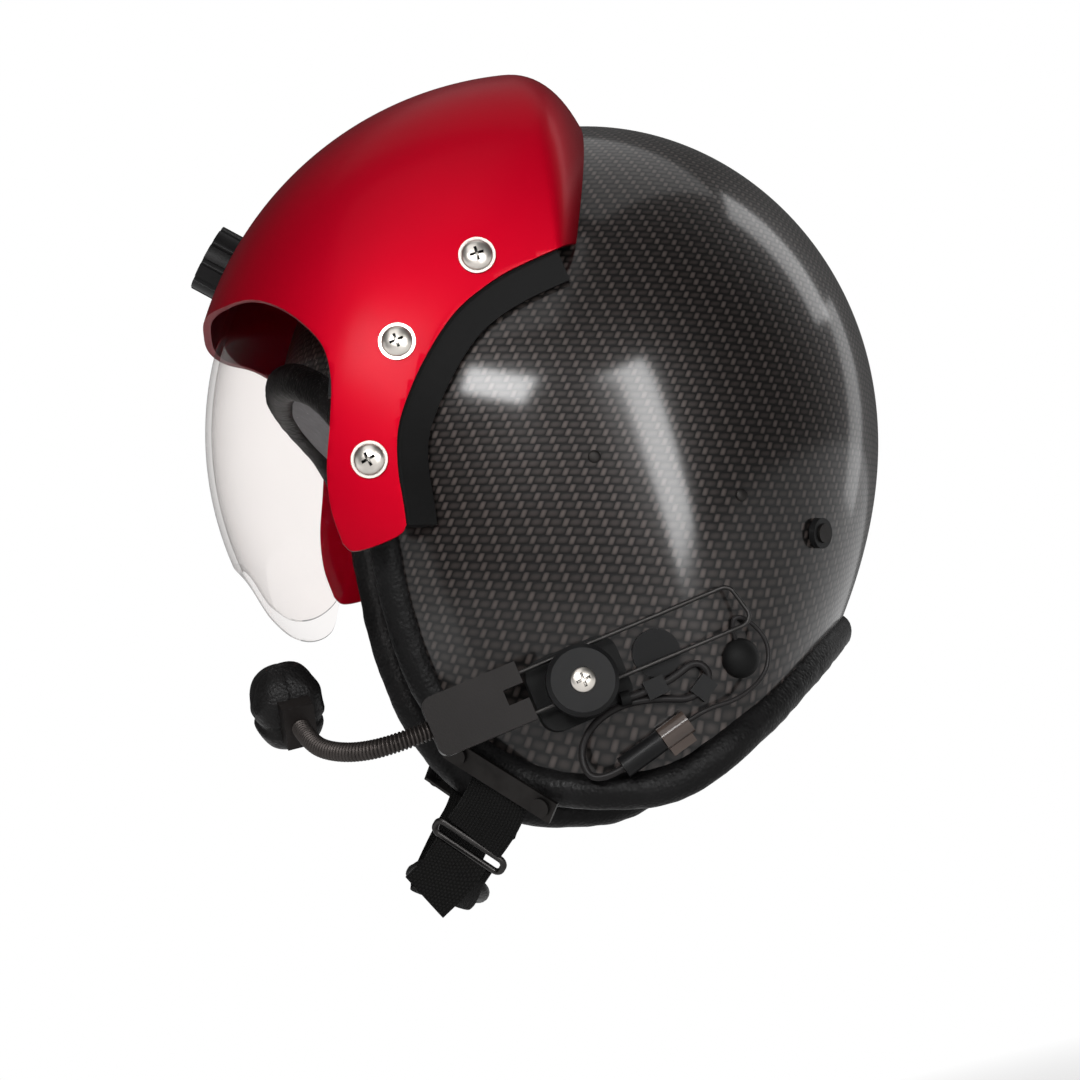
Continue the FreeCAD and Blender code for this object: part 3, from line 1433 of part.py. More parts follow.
def strap(points, width, thickness):
    """A flat strap through centre points."""
    path = route(points)
    wires = []
    for i, point in enumerate(path):
        ahead = path[min(i + 1, len(path) - 1)] - path[max(i - 1, 0)]
        across = web_across(point, ahead)
        thick = ahead.cross(across).normalize() * (thickness / 2)
        half = across * (width / 2)
        corners = [point - half - thick, point + half - thick, point + half + thick, point - half + thick]
        wires.append(Part.makePolygon(corners + [corners[0]]))
    return loft(wires)


def plate_room(hand):
    """The space of an anchor plate and its screws, grown by the gap."""
    gap = size.seat_gap
    room = Part.makeBox(
        size.anchor_length + 2 * gap, size.anchor_width + 2 * gap, size.pad_thickness,
        V(-size.anchor_length / 2 - gap, -size.anchor_width / 2 - gap, -size.anchor_screw_height),
    )
    room.Placement = anchor_place(hand, over_roll + size.anchor_screw_height - gap)
    return room


near_web = strap(LEFT_WEB_ROUTE, size.web_width, size.web_thickness)
near_web = near_web.cut(roll_room).cut(dome_clear).cut(plate_room(LEFT))
near_web = max(near_web.Solids, key=lambda solid: solid.Volume)
bind("chinstrap_left", feature("chinstrap_left", near_web))
under = strap(UNDER_WEB_ROUTE, size.web_width, size.web_thickness)
under = under.cut(roll_room).cut(dome_clear).cut(plate_room(RIGHT))
under = max(under.Solids, key=lambda solid: solid.Volume)
bind("chinstrap_under", feature("chinstrap_under", under))
tail = strap(TAIL_ROUTE, size.web_width * size.tail_share, size.web_thickness)
bind("strap_tail", feature("strap_tail", tail))
PAD_ROUTE = tuple(tuple(V(*point) + V(*PAD_LIFT)) for point in UNDER_WEB_ROUTE[2:7])
bind("chin_pad", feature("chin_pad", strap(PAD_ROUTE, size.pad_width, size.pad_thickness)))


def ring_solid(start, end):
    """A rectangular wire ring between the ends of two straps."""
    ahead = end - start
    across = web_across((start + end) / 2, ahead)
    centre = (start + end) / 2
    ahead.normalize()
    half_wide = size.web_width / 2 + 2 * size.ring_wire
    half_deep = (end - start).Length / 2 - size.ring_wire - size.ring_slack
    bend = size.ring_wire * 2
    edges = []
    corners = [(-1, -1), (1, -1), (1, 1), (-1, 1)]
    for i, (wide, deep) in enumerate(corners):
        next_wide, next_deep = corners[(i + 1) % 4]
        here = centre + across * (wide * half_wide) + ahead * (deep * half_deep)
        there = centre + across * (next_wide * half_wide) + ahead * (next_deep * half_deep)
        step = (there - here).normalize()
        after_wide, after_deep = corners[(i + 2) % 4]
        after = centre + across * (after_wide * half_wide) + ahead * (after_deep * half_deep)
        turn = (after - there).normalize()
        entry, leave = there - step * bend, there + turn * bend
        middle = there + (turn - step) * bend - (turn - step).normalize() * bend
        edges.append(Part.makeLine(here + step * bend, entry))
        edges.append(Part.Arc(entry, middle, leave).toShape())
    start_point = edges[0].valueAt(edges[0].FirstParameter)
    profile = Part.Circle(start_point, edges[0].tangentAt(edges[0].FirstParameter), size.ring_wire)
    return Part.Wire(edges).makePipeShell([Part.Wire([profile.toShape()])], True, False)


buckle = ring_solid(V(*LEFT_WEB_ROUTE[-1]), V(*UNDER_WEB_ROUTE[0]))
bind("buckle_ring", feature("buckle_ring", buckle))

doc.recompute()

# Every object has to be sound before anything is written
faults = []
for obj in doc.Objects:
    if any(word in obj.State for word in ("Invalid", "Error")):
        faults.append(f"{obj.Label}: {obj.State}")
for node in NODES:
    if node.Shape.isNull() or not node.Shape.isValid():
        faults.append(f"{node.Label}: shape is null or not valid")
    elif not node.Shape.Solids:
        faults.append(f"{node.Label}: has no solid")
if faults:
    raise RuntimeError("; ".join(faults))
for node in NODES:
    node.Shape.exportStep(f"parts/{node.Label}.step")
    print(node.Label, len(node.Shape.Solids), round(node.Shape.Volume, 1))
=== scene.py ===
"""The looks of a flight helmet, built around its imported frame."""

import logging
import math
from collections.abc import Callable, Sequence
from dataclasses import dataclass
from enum import Enum

import bmesh
import bpy
from mathutils import Matrix, Vector, noise


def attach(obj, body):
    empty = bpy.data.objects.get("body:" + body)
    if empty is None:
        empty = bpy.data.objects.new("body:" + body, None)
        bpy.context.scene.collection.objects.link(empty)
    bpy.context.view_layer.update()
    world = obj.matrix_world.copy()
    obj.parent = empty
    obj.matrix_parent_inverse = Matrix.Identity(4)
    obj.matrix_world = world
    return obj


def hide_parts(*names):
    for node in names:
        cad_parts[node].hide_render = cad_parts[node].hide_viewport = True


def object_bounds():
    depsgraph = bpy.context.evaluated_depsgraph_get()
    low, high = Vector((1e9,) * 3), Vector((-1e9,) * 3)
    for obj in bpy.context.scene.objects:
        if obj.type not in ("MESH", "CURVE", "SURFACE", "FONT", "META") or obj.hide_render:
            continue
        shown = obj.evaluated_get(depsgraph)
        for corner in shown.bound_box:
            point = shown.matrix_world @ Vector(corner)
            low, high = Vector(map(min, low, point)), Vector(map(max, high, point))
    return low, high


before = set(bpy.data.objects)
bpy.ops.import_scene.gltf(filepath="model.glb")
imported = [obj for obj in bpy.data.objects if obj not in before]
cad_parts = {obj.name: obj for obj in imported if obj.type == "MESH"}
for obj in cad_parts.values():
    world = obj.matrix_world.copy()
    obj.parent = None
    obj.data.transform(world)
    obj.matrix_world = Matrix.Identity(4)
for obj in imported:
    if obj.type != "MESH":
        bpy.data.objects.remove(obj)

CAD_BOX = [list(map(float, corner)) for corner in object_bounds()]
LOG = logging.getLogger("flight_helmet")
MM = 0.001
TINY = 1e-9
Point = tuple[float, float]
Place = tuple[float, float, float]
Colour = tuple[float, float, float]


# Shader graph tools
class Graph:
    """The node tree of a material or a world, with short ways to add and link nodes."""

    def __init__(self, owner: bpy.types.Material | bpy.types.World) -> None:
        """Empties the owner's tree.

        Args:
            owner: The material or world that has the tree.
        """
        owner.use_nodes = True
        self.owner = owner
        self.tree = owner.node_tree
        self.tree.nodes.clear()
        is_world = isinstance(owner, bpy.types.World)
        self.output = self.tree.nodes.new("ShaderNodeOutputWorld" if is_world else "ShaderNodeOutputMaterial")

    @classmethod
    def start(cls, name: str) -> "Graph":
        """Starts a new material's tree."""
        return cls(bpy.data.materials.new(name))

    def node(self, kind: str, settings: dict | None = None, **inputs: object) -> bpy.types.Node:
        """Adds a node, sets it up and fills its sockets.

        Args:
            kind: The node's type, such as ShaderNodeTexNoise.
            settings: Properties of the node, set before its sockets.
            **inputs: Values or links by socket name, with _ for a space, or i0, i1 by number.

        Returns:
            The node.
        """
        made = self.tree.nodes.new(kind)
        for key, value in (settings or {}).items():
            setattr(made, key, value)
        for key, value in inputs.items():
            by_number = key[0] == "i" and key[1:].isdigit()
            socket = made.inputs[int(key[1:])] if by_number else made.inputs[key.replace("_", " ")]
            if isinstance(value, Sock):
                self.tree.links.new(value.socket, socket)
            elif isinstance(value, bpy.types.NodeSocket):
                self.tree.links.new(value, socket)
            else:
                socket.default_value = value
        return made

    def value(
        self, kind: str, output: int | str = 0, settings: dict | None = None, **inputs: object
    ) -> "Sock":
        """Adds a node and wraps one of its outputs for maths.

        Args:
            kind: The node's type.
            output: The output's number or name.
            settings: Properties of the node.
            **inputs: Values or links of its sockets, as in node.

        Returns:
            The wrapped output.
        """
        return Sock(self, self.node(kind, settings, **inputs).outputs[output])

    def place(self, output: str = "Object") -> bpy.types.NodeSocket:
        """The surface's own coordinates."""
        return self.node("ShaderNodeTexCoord").outputs[output]

    def split(self, vector: object) -> tuple["Sock", "Sock", "Sock"]:
        """A vector's three numbers."""
        made = self.node("ShaderNodeSeparateXYZ", Vector=vector)
        return tuple(Sock(self, made.outputs[i]) for i in range(3))

    def noise(self, scale: float, detail: float = 3.0, vector: object = None, rough: float = 0.5) -> "Sock":
        """Soft noise from 0 to 1.

        Args:
            scale: How many clouds to a metre.
            detail: How many finer layers are added.
            vector: Where it is read, the object's own coordinates when None.
            rough: How strong the finer layers are.

        Returns:
            The noise.
        """
        where = self.place() if vector is None else vector
        settings = {"Vector": where, "Scale": scale, "Detail": detail, "Roughness": rough}
        return self.value("ShaderNodeTexNoise", "Fac", None, **settings)

    def cells(self, scale: float) -> "Sock":
        """The distance to the middle of the nearest cell."""
        return self.value("ShaderNodeTexVoronoi", "Distance", None, Vector=self.place(), Scale=scale)

    def ray(self, kind: str) -> "Sock":
        """One where the ray is of a kind, such as Camera."""
        return self.value("ShaderNodeLightPath", f"Is {kind} Ray")

    def blend(self, factor: object, first: object, second: object) -> "Sock":
        """Mixes two colours.

        Args:
            factor: How much of the second.
            first: A colour or link.
            second: A colour or link.

        Returns:
            The colour.
        """
        return self.value("ShaderNodeMix", 2, {"data_type": "RGBA"}, i0=factor, i6=first, i7=second)

    def bump(self, height: object, distance: float, strength: float = 1.0) -> bpy.types.NodeSocket:
        """A bump from a height, its depth in metres."""
        made = self.node("ShaderNodeBump", None, Height=height, Distance=distance, Strength=strength)
        return made.outputs[0]

    def show(self, shader: bpy.types.Node) -> bpy.types.Material | bpy.types.World:
        """Links a shader to the output and gives back what has the tree."""
        self.tree.links.new(shader.outputs[0], self.output.inputs[0])
        return self.owner

    def surface(self, **inputs: object) -> bpy.types.Material:
        """Finishes the material with its main shader."""
        return self.show(self.node("ShaderNodeBsdfPrincipled", None, **inputs))

    def either(
        self, factor: object, first: bpy.types.Node, second: bpy.types.Node
    ) -> bpy.types.Material | bpy.types.World:
        """Finishes the tree with a mix of two shaders.

        Args:
            factor: How much of the second.
            first: A shader node.
            second: A shader node.

        Returns:
            The material or world.
        """
        shaders = {"i0": factor, "i1": first.outputs[0], "i2": second.outputs[0]}
        return self.show(self.node("ShaderNodeMixShader", None, **shaders))


@dataclass(frozen=True)
class Sock:
    """A number in a shader, with the usual operators."""

    graph: Graph
    socket: bpy.types.NodeSocket

    def _math(self, operation: str, *values: object) -> "Sock":
        """One Math node on values."""
        inputs = {f"i{i}": value for i, value in enumerate(values)}
        return self.graph.value("ShaderNodeMath", 0, {"operation": operation}, **inputs)

    def __add__(self, other: object) -> "Sock":
        """Sum."""
        return self._math("ADD", self, other)

    def __radd__(self, other: object) -> "Sock":
        """Sum with a plain number first."""
        return self._math("ADD", other, self)

    def __sub__(self, other: object) -> "Sock":
        """Difference."""
        return self._math("SUBTRACT", self, other)

    def __rsub__(self, other: object) -> "Sock":
        """Difference from a plain number."""
        return self._math("SUBTRACT", other, self)

    def __mul__(self, other: object) -> "Sock":
        """Product."""
        return self._math("MULTIPLY", self, other)

    def __rmul__(self, other: object) -> "Sock":
        """Product with a plain number first."""
        return self._math("MULTIPLY", other, self)

    def __truediv__(self, other: object) -> "Sock":
        """Quotient."""
        return self._math("DIVIDE", self, other)

    def __rtruediv__(self, other: object) -> "Sock":
        """Quotient of a plain number."""
        return self._math("DIVIDE", other, self)

    def __mod__(self, other: object) -> "Sock":
        """Remainder, never negative."""
        return self._math("FLOORED_MODULO", self, other)

    def __rmod__(self, other: object) -> "Sock":
        """Remainder of a plain number."""
        return self._math("FLOORED_MODULO", other, self)

    def __pow__(self, other: object) -> "Sock":
        """Power."""
        return self._math("POWER", self, other)

    def __rpow__(self, other: object) -> "Sock":
        """Power of a plain number."""
        return self._math("POWER", other, self)

    def __lt__(self, other: object) -> "Sock":
        """One where less."""
        return self._math("LESS_THAN", self, other)

    def __gt__(self, other: object) -> "Sock":
        """One where greater, the reflected form of less."""
        return self._math("GREATER_THAN", self, other)

    def floor(self) -> "Sock":
        """The whole number below."""
        return self._math("FLOOR", self)

    def wave(self, turns: float = 0.5) -> "Sock":
        """The sine of so many turns for each unit."""
        return self._math("SINE", self * (math.tau * turns))

    def ramp(self, low: float = 0.0, high: float = 1.0, start: float = 0.0, end: float = 1.0) -> "Sock":
        """Carries one range onto another, held at both ends.

        Args:
            low: The range's start.
            high: The range's end.
            start: What the start becomes.
            end: What the end becomes.

        Returns:
            The number in its new range.
        """
        spans = {"i0": self, "i1": low, "i2": high, "i3": start, "i4": end}
        return self.graph.value("ShaderNodeMapRange", 0, {"clamp": True}, **spans)


def shade(colour: Colour, gain: float = 1.0, lift: float = 0.0) -> tuple[float, ...]:
    """A colour made lighter by a gain and a lift, with its alpha."""
    return (*(min(1.0, part * gain + lift) for part in colour), 1.0)


# Finishes
@dataclass(frozen=True)
class CarbonCloth:
    """Clear-coated carbon cloth: one upright tow, then a lying one, a cell further in each row, coloured with
    painted reflection on the tows.
    """

    pitch: float = 0.00225
    row_pitch: float = 0.0030
    repeat: float = 3.0
    warp: Point = (0.871, -0.611)
    weft: Point = (0.276, 1.028)
    sway: float = 0.0025
    upright_crown: Point = (0.6, 0.35)
    lying_crown: Point = (0.45, 0.7)
    dark: Colour = (0.0022, 0.0019, 0.0018)
    # The tow colour in painted reflection.
    light: Colour = (0.074, 0.060, 0.055)

    def build(self) -> bpy.types.Material:
        """Makes the material.

        Returns:
            The material.
        """
        g = Graph.start("carbon_cloth")
        wander = g.noise(5.0, 2.0) * self.sway
        u, v, _ = g.split(g.place("UV"))
        across = (u * self.warp[0] + v * self.warp[1] + wander) / self.pitch
        along = (u * self.weft[0] + v * self.weft[1] - wander) / self.row_pitch
        line = along.floor()
        phase = (across + line) % self.repeat
        upright = phase < 1.0
        tow = (along % 1.0).wave().ramp()
        own_run = phase.ramp().wave().ramp()
        lying_run = ((phase - 1.0) / (self.repeat - 1.0)).wave().ramp()
        standing = (own_run ** self.upright_crown[0]) * (tow ** self.upright_crown[1])
        lying = (lying_run ** self.lying_crown[0]) * (tow ** self.lying_crown[1])
        crown = standing * upright + lying * (1 - upright)
        patch = g.noise(7.0, 3.0)
        tow_place = g.node("ShaderNodeCombineXYZ", None, X=across, Y=line * 3.7).outputs[0]
        uneven_sheen = 0.30 + 0.95 * patch + 0.30 * g.noise(1.0, 1.0, tow_place)
        # Painted reflection: tow crowns are lighter, upright tows more so, in uneven patches that are partly
        # random tone.
        tone = crown * (0.42 + 0.40 * upright) * uneven_sheen
        scuff = g.noise(70.0, 4.0).ramp(0.55, 0.75)
        return g.surface(
            Base_Color=g.blend(tone.ramp(0.16, 0.92), shade(self.dark), shade(self.light)),
            Metallic=0.2,
            Roughness=0.50 - 0.10 * crown + scuff * 0.05,
            Normal=g.bump(crown, 0.00012, 0.6),
            Specular_IOR_Level=0.12,
            Coat_Weight=0.50,
            Coat_Roughness=0.13,
            Coat_IOR=1.5,
        )


@dataclass(frozen=True)
class CandyRed:
    """Metallic red lacquer under a clear coat, brighter where it faces the camera: partly the paint's own
    flop, partly painted sheen.
    """

    deep: Colour = (0.13, 0.0, 0.005)
    bright: Colour = (0.42, 0.0, 0.011)
    flakes: float = 2600.0

    def build(self) -> bpy.types.Material:
        """Makes the material.

        Returns:
            The material.
        """
        g = Graph.start("candy_red")
        # Painted sheen, partly the paint's flop: the deep red turns bright where the surface faces the
        # camera.
        facing = g.value("ShaderNodeLayerWeight", "Facing", None, Blend=0.42)
        towards = (1 - facing) * (0.82 + 0.3 * g.noise(14.0, 3.0))
        speck = g.cells(self.flakes).ramp(0.1, 0.5, 0.0, 0.10)
        worn = g.noise(60.0, 5.0).ramp(0.5, 0.8)
        return g.surface(
            Base_Color=g.blend(towards, shade(self.deep), shade(self.bright)),
            Metallic=0.35,
            Roughness=0.42 + speck + worn * 0.04,
            Specular_IOR_Level=0.02,
            Normal=g.bump(g.noise(400.0, 2.0), 0.00002, 0.35),
            Coat_Weight=0.05,
            Coat_Roughness=0.20,
            Coat_IOR=1.5,
        )


@dataclass(frozen=True)
class ClearSheet:
    """Clear polished plastic that lets light through."""

    tint: Colour = (0.93, 0.915, 0.91)
    through: Colour = (0.985, 0.972, 0.966)

    def build(self) -> bpy.types.Material:
        """Makes the material.

        Returns:
            The material.
        """
        g = Graph.start("clear_sheet")
        wipe = g.noise(40.0, 4.0).ramp(0.45, 0.8)
        glass = g.node(
            "ShaderNodeBsdfPrincipled", None,
            Base_Color=shade(self.tint), Roughness=0.015 + wipe * 0.03, IOR=1.45, Transmission_Weight=1.0,
        )
        clear = g.node("ShaderNodeBsdfTransparent", None, Color=shade(self.through))
        edge = g.value("ShaderNodeLayerWeight", "Facing", None, Blend=0.5)
        keep = ((edge ** 5.0) * 0.55 + wipe * 0.012).ramp()
        return g.either(keep * (1 - g.ray("Shadow")), clear, glass)


@dataclass(frozen=True)
class ClearEdge:
    """The cut edge of a clear sheet, in painted shade: a dark colour for how the sheet looks edge on."""

    colour: Colour = (0.050, 0.040, 0.038)
    pale: Colour = (0.22, 0.19, 0.18)

    def build(self) -> bpy.types.Material:
        """Makes the material.

        Returns:
            The material.
        """
        g = Graph.start("clear_edge")
        return g.surface(
            Base_Color=g.blend(g.noise(60.0, 3.0).ramp(0.35, 0.75), shade(self.colour), shade(self.pale)),
            Roughness=0.18 + g.noise(300.0) * 0.1,
            Specular_IOR_Level=0.7,
        )


@dataclass(frozen=True)
class Moulded:
    """Moulded plastic or rubber with a fine skin."""

    name: str
    colour: Colour
    roughness: float = 0.45
    grain: float = 900.0
    depth: float = 0.00003
    coat: float = 0.0

    def build(self) -> bpy.types.Material:
        """Makes the material.

        Returns:
            The material.
        """
        g = Graph.start(self.name)
        fine = g.noise(self.grain, 3.0)
        dust = g.noise(45.0, 5.0).ramp(0.42, 0.85)
        pale = shade(self.colour, 1.6, 0.003)
        return g.surface(
            Base_Color=g.blend(dust * 0.55 + fine * 0.15, shade(self.colour), pale),
            Roughness=self.roughness + dust * 0.12 - fine * 0.05,
            Normal=g.bump(fine, self.depth, 0.6),
            Specular_IOR_Level=0.12,
            Coat_Weight=self.coat,
            Coat_Roughness=0.2,
        )


@dataclass(frozen=True)
class Metal:
    """Plated or brushed metal with soft wear, and painted shade in recesses up to a depth in metres."""

    name: str
    colour: Colour
    roughness: float = 0.28
    streak: float = 500.0
    shade_depth: float = 0.0

    def build(self) -> bpy.types.Material:
        """Makes the material.

        Returns:
            The material.
        """
        g = Graph.start(self.name)
        x, y, z = g.split(g.place())
        stretched = g.node("ShaderNodeCombineXYZ", None, X=x * 3.0, Y=y, Z=z).outputs[0]
        lines = g.noise(self.streak, 4.0, stretched)
        tarnish = g.noise(120.0, 4.0).ramp(0.45, 0.75)
        plain = g.blend(tarnish * 0.7, shade(self.colour), shade(self.colour, 0.62))
        # Painted shade: the colour goes near black where ambient occlusion finds a recess.
        if self.shade_depth:
            painted_shade = g.value("ShaderNodeAmbientOcclusion", "AO", {"samples": 8}, Distance=self.shade_depth)
            plain = g.blend(painted_shade.ramp(0.45, 0.85), shade((0.004, 0.004, 0.004)), plain)
        return g.surface(
            Base_Color=plain,
            Metallic=1.0,
            Roughness=self.roughness + lines * 0.14 + tarnish * 0.10,
            Normal=g.bump(lines, 0.00002, 0.5),
        )


@dataclass(frozen=True)
class Leather:
    """Soft leather: small creased cells, wear on the crowns."""

    name: str
    colour: Colour = (0.0035, 0.0033, 0.0034)
    roughness: float = 0.44
    grain: float = 620.0

    def build(self) -> bpy.types.Material:
        """Makes the material.

        Returns:
            The material.
        """
        g = Graph.start(self.name)
        cells = g.cells(self.grain)
        fold = g.noise(38.0, 5.0, None, 0.6)
        height = cells.ramp(0.0, 0.7) * 0.6 + fold * 1.4 + g.noise(160.0, 2.0) * 0.3
        worn = fold.ramp(0.52, 0.74)
        return g.surface(
            Base_Color=g.blend(worn * 0.5, shade(self.colour), shade(self.colour, 2.0, 0.005)),
            Roughness=self.roughness - worn * 0.10 + cells.ramp(0.0, 0.8) * 0.12,
            Normal=g.bump(height, 0.0005, 0.55),
            Specular_IOR_Level=0.13,
        )


@dataclass(frozen=True)
class Webbing:
    """Tight woven strap with ribs across it, on the mesh's flat map in metres."""

    name: str
    colour: Colour = (0.0025, 0.0024, 0.0023)
    pitch: float = 0.0016

    def build(self) -> bpy.types.Material:
        """Makes the material.

        Returns:
            The material.
        """
        g = Graph.start(self.name)
        u, v, _ = g.split(g.place("UV"))
        column = u / (self.pitch * 0.8)
        shift = (column.floor() % 2.0) * 0.5
        height = ((v / self.pitch + shift) % 1.0).wave() * (column % 1.0).wave()
        fuzz = g.noise(1500.0, 2.0)
        tone = (height * 0.55 + fuzz * 0.3).ramp()
        return g.surface(
            Base_Color=g.blend(tone, shade(self.colour), shade(self.colour, 3.0, 0.006)),
            Roughness=0.82 + fuzz * 0.1,
            Normal=g.bump(height + fuzz * 0.3, 0.0004, 0.8),
            Specular_IOR_Level=0.05,
            Sheen_Weight=0.02,
        )


@dataclass(frozen=True)
class Foam:
    """Moulded bead foam."""

    name: str
    colour: Colour = (0.20, 0.20, 0.21)
    beads: float = 320.0

    def build(self) -> bpy.types.Material:
        """Makes the material.

        Returns:
            The material.
        """
        g = Graph.start(self.name)
        tone = g.cells(self.beads).ramp(0.0, 0.6)
        return g.surface(
            Base_Color=g.blend(tone * 0.6 + g.noise(30.0) * 0.2, shade(self.colour, 1.5), shade(self.colour)),
            Roughness=0.78 + tone * 0.1,
            Normal=g.bump(1 - tone, 0.0003, 0.5),
        )


@dataclass(frozen=True)
class Knit:
    """Soft lining cloth."""

    name: str
    colour: Colour = (0.05, 0.05, 0.055)
    pitch: float = 0.0011

    def build(self) -> bpy.types.Material:
        """Makes the material.

        Returns:
            The material.
        """
        g = Graph.start(self.name)
        x, y, z = g.split(g.place())
        wave = ((x + y) / self.pitch).wave(1.0) * ((z - x) / self.pitch).wave(1.0)
        fuzz = g.noise(1200.0, 2.0)
        tone = (wave * 0.3 + 0.5) * fuzz
        return g.surface(
            Base_Color=g.blend(tone, shade(self.colour), shade(self.colour, 2.0, 0.01)),
            Roughness=0.88 - fuzz * 0.06,
            Normal=g.bump(wave * 0.5 + fuzz, 0.0003, 0.6),
            Sheen_Weight=0.3,
        )


class Finishes:
    """Every finish of the helmet, built once."""

    def __init__(self) -> None:
        """Builds the materials."""
        self.carbon = CarbonCloth().build()
        self.red = CandyRed().build()
        self.lens = ClearSheet().build()
        self.lens_edge = ClearEdge().build()
        self.leather = Leather("black_leather").build()
        self.muff = Leather("muff_leather", (0.006, 0.0056, 0.0056), 0.36, 800.0).build()
        self.webbing = Webbing("dark_webbing").build()
        self.foam = Foam("liner_foam").build()
        self.lining = Knit("lining_cloth").build()
        self.rubber = Moulded("black_rubber", (0.004, 0.004, 0.004), 0.62, 700.0, 0.00005).build()
        self.black = Moulded("black_plastic", (0.006, 0.006, 0.0062), 0.36, 1100.0).build()
        self.grey = Moulded("slab_plastic", (0.010, 0.0085, 0.008), 0.40, 1300.0, 0.00005).build()
        self.brown = Moulded("jack_plastic", (0.050, 0.037, 0.031), 0.20, 900.0, 0.00001, 0.6).build()
        self.lead = Moulded("lead_rubber", (0.012, 0.011, 0.011), 0.36, 500.0).build()
        # The last number is the depth of the nickel's painted shade in recesses.
        self.nickel = Metal("nickel_plate", (0.66, 0.62, 0.57), 0.24, 500.0, 0.0018).build()
        self.steel = Metal("boom_steel", (0.045, 0.043, 0.042), 0.34).build()
        self.dark_steel = Metal("plate_steel", (0.028, 0.026, 0.025), 0.45).build()
        self.coil = Metal("gooseneck_coil", (0.058, 0.051, 0.048), 0.44, 200.0).build()


# Mesh tools
class Cut(Enum):
    """What a trimming block does to a mesh."""

    KEEP_INSIDE = "INTERSECT"
    TAKE_AWAY = "DIFFERENCE"


def spaced(dense: Sequence[Vector], count: int, closed: bool = False) -> list[Vector]:
    """Evenly spaced points on a line of many points.

    Args:
        dense: The line's points; a closed line ends on its first.
        count: How many points to return.
        closed: Whether the line is closed, so that its first point isn't repeated.

    Returns:
        The points.
    """
    lengths = [0.0]
    for a, b in zip(dense, dense[1:]):
        lengths.append(lengths[-1] + (b - a).length)
    made, at = [], 0
    for i in range(count):
        want = lengths[-1] * i / (count if closed else count - 1)
        while at < len(dense) - 2 and lengths[at + 1] < want:
            at += 1
        span = max(lengths[at + 1] - lengths[at], TINY)
        made.append(dense[at].lerp(dense[at + 1], (want - lengths[at]) / span))
    return made


def smooth_line(points: Sequence[Sequence[float]], count: int, steps: int = 24) -> list[Vector]:
    """Evenly spaced points on a smooth line through a few points.

    Args:
        points: The points, of two or three numbers each.
        count: How many points to return.
        steps: How many steps the line takes between two of its points.

    Returns:
        Points of three numbers, the third 0 where the input had two.
    """
    src = [Vector((*p, 0.0)[:3]) for p in points]
    dense = []
    for i in range(len(src) - 1):
        p0 = src[max(i - 1, 0)] if i else src[0] * 2 - src[1]
        p1, p2 = src[i], src[i + 1]
        p3 = src[i + 2] if i + 2 < len(src) else src[-1] * 2 - src[-2]
        d1, d2, d3 = (max((b - a).length ** 0.5, 1e-6) for a, b in ((p0, p1), (p1, p2), (p2, p3)))
        m1 = (p2 - p1) + ((p1 - p0) / d1 - (p2 - p0) / (d1 + d2)) * d2
        m2 = (p2 - p1) + ((p3 - p2) / d3 - (p3 - p1) / (d2 + d3)) * d2
        for k in range(steps):
            t = k / steps
            a = 2 * t**3 - 3 * t**2 + 1
            b = t**3 - 2 * t**2 + t
            dense.append(p1 * a + m1 * b + p2 * (1 - a) + m2 * (t**3 - t**2))
    dense.append(src[-1])
    return spaced(dense, count)


def heading(path: Sequence[Vector], i: int) -> Vector:
    """The direction in which an open path runs at one of its points."""
    return (path[min(i + 1, len(path) - 1)] - path[max(i - 1, 0)]).normalized()


def rounded(turn: float, sharpness: Point) -> Point:
    """A point of a rounded rectangle that reaches from -1 to 1 each way.

    Args:
        turn: The angle round it, in radians.
        sharpness: The powers along its width and its height; 1 is round, 0 is square.

    Returns:
        The point.
    """
    c, s = math.cos(turn), math.sin(turn)
    return math.copysign(abs(c) ** sharpness[0], c), math.copysign(abs(s) ** sharpness[1], s)


def mesh_piece(
    name: str,
    vertices: Sequence[Sequence[float]],
    faces: Sequence[Sequence[int]],
    material: bpy.types.Material,
    flat: Callable[[Vector], Point] | Sequence[Point] | None = None,
    sharp: float = 40.0,
) -> bpy.types.Object:
    """Makes an object from vertices in millimetres.

    Args:
        name: The piece's name.
        vertices: Places in millimetres.
        faces: Vertex numbers of each face.
        material: Its finish.
        flat: Its flat map: a function of a place, or one pair for each vertex, in metres.
        sharp: The angle in degrees over which an edge stays hard.

    Returns:
        The object, in metres.
    """
    mesh = bpy.data.meshes.new(name)
    mesh.from_pydata([[c * MM for c in v] for v in vertices], [], faces)
    mesh.validate()
    mesh.update()
    if flat is not None:
        layer = mesh.uv_layers.new(name="flat")
        for loop in mesh.loops:
            vertex = mesh.vertices[loop.vertex_index].co
            pair = flat(vertex) if callable(flat) else flat[loop.vertex_index]
            layer.data[loop.index].uv = pair
    mesh.materials.append(material)
    soften(mesh, sharp)
    made = bpy.data.objects.new(name, mesh)
    bpy.context.collection.objects.link(made)
    return made


def soften(mesh: bpy.types.Mesh, sharp: float) -> None:
    """Shades a mesh smoothly.

    Args:
        mesh: The mesh.
        sharp: The angle in degrees over which an edge stays hard.
    """
    for polygon in mesh.polygons:
        polygon.use_smooth = True
    mesh.set_sharp_from_angle(angle=math.radians(sharp))


def grid_faces(rows: int, columns: int, wrap: bool = False) -> list[tuple[int, ...]]:
    """Four-sided faces of a grid of vertices laid out row by row.

    Args:
        rows: How many rows of vertices.
        columns: How many vertices in a row.
        wrap: Whether each row closes on itself.

    Returns:
        The faces.
    """
    faces = []
    for i in range(rows - 1):
        for j in range(columns if wrap else columns - 1):
            k = (j + 1) % columns
            faces.append((i * columns + j, i * columns + k, (i + 1) * columns + k, (i + 1) * columns + j))
    return faces


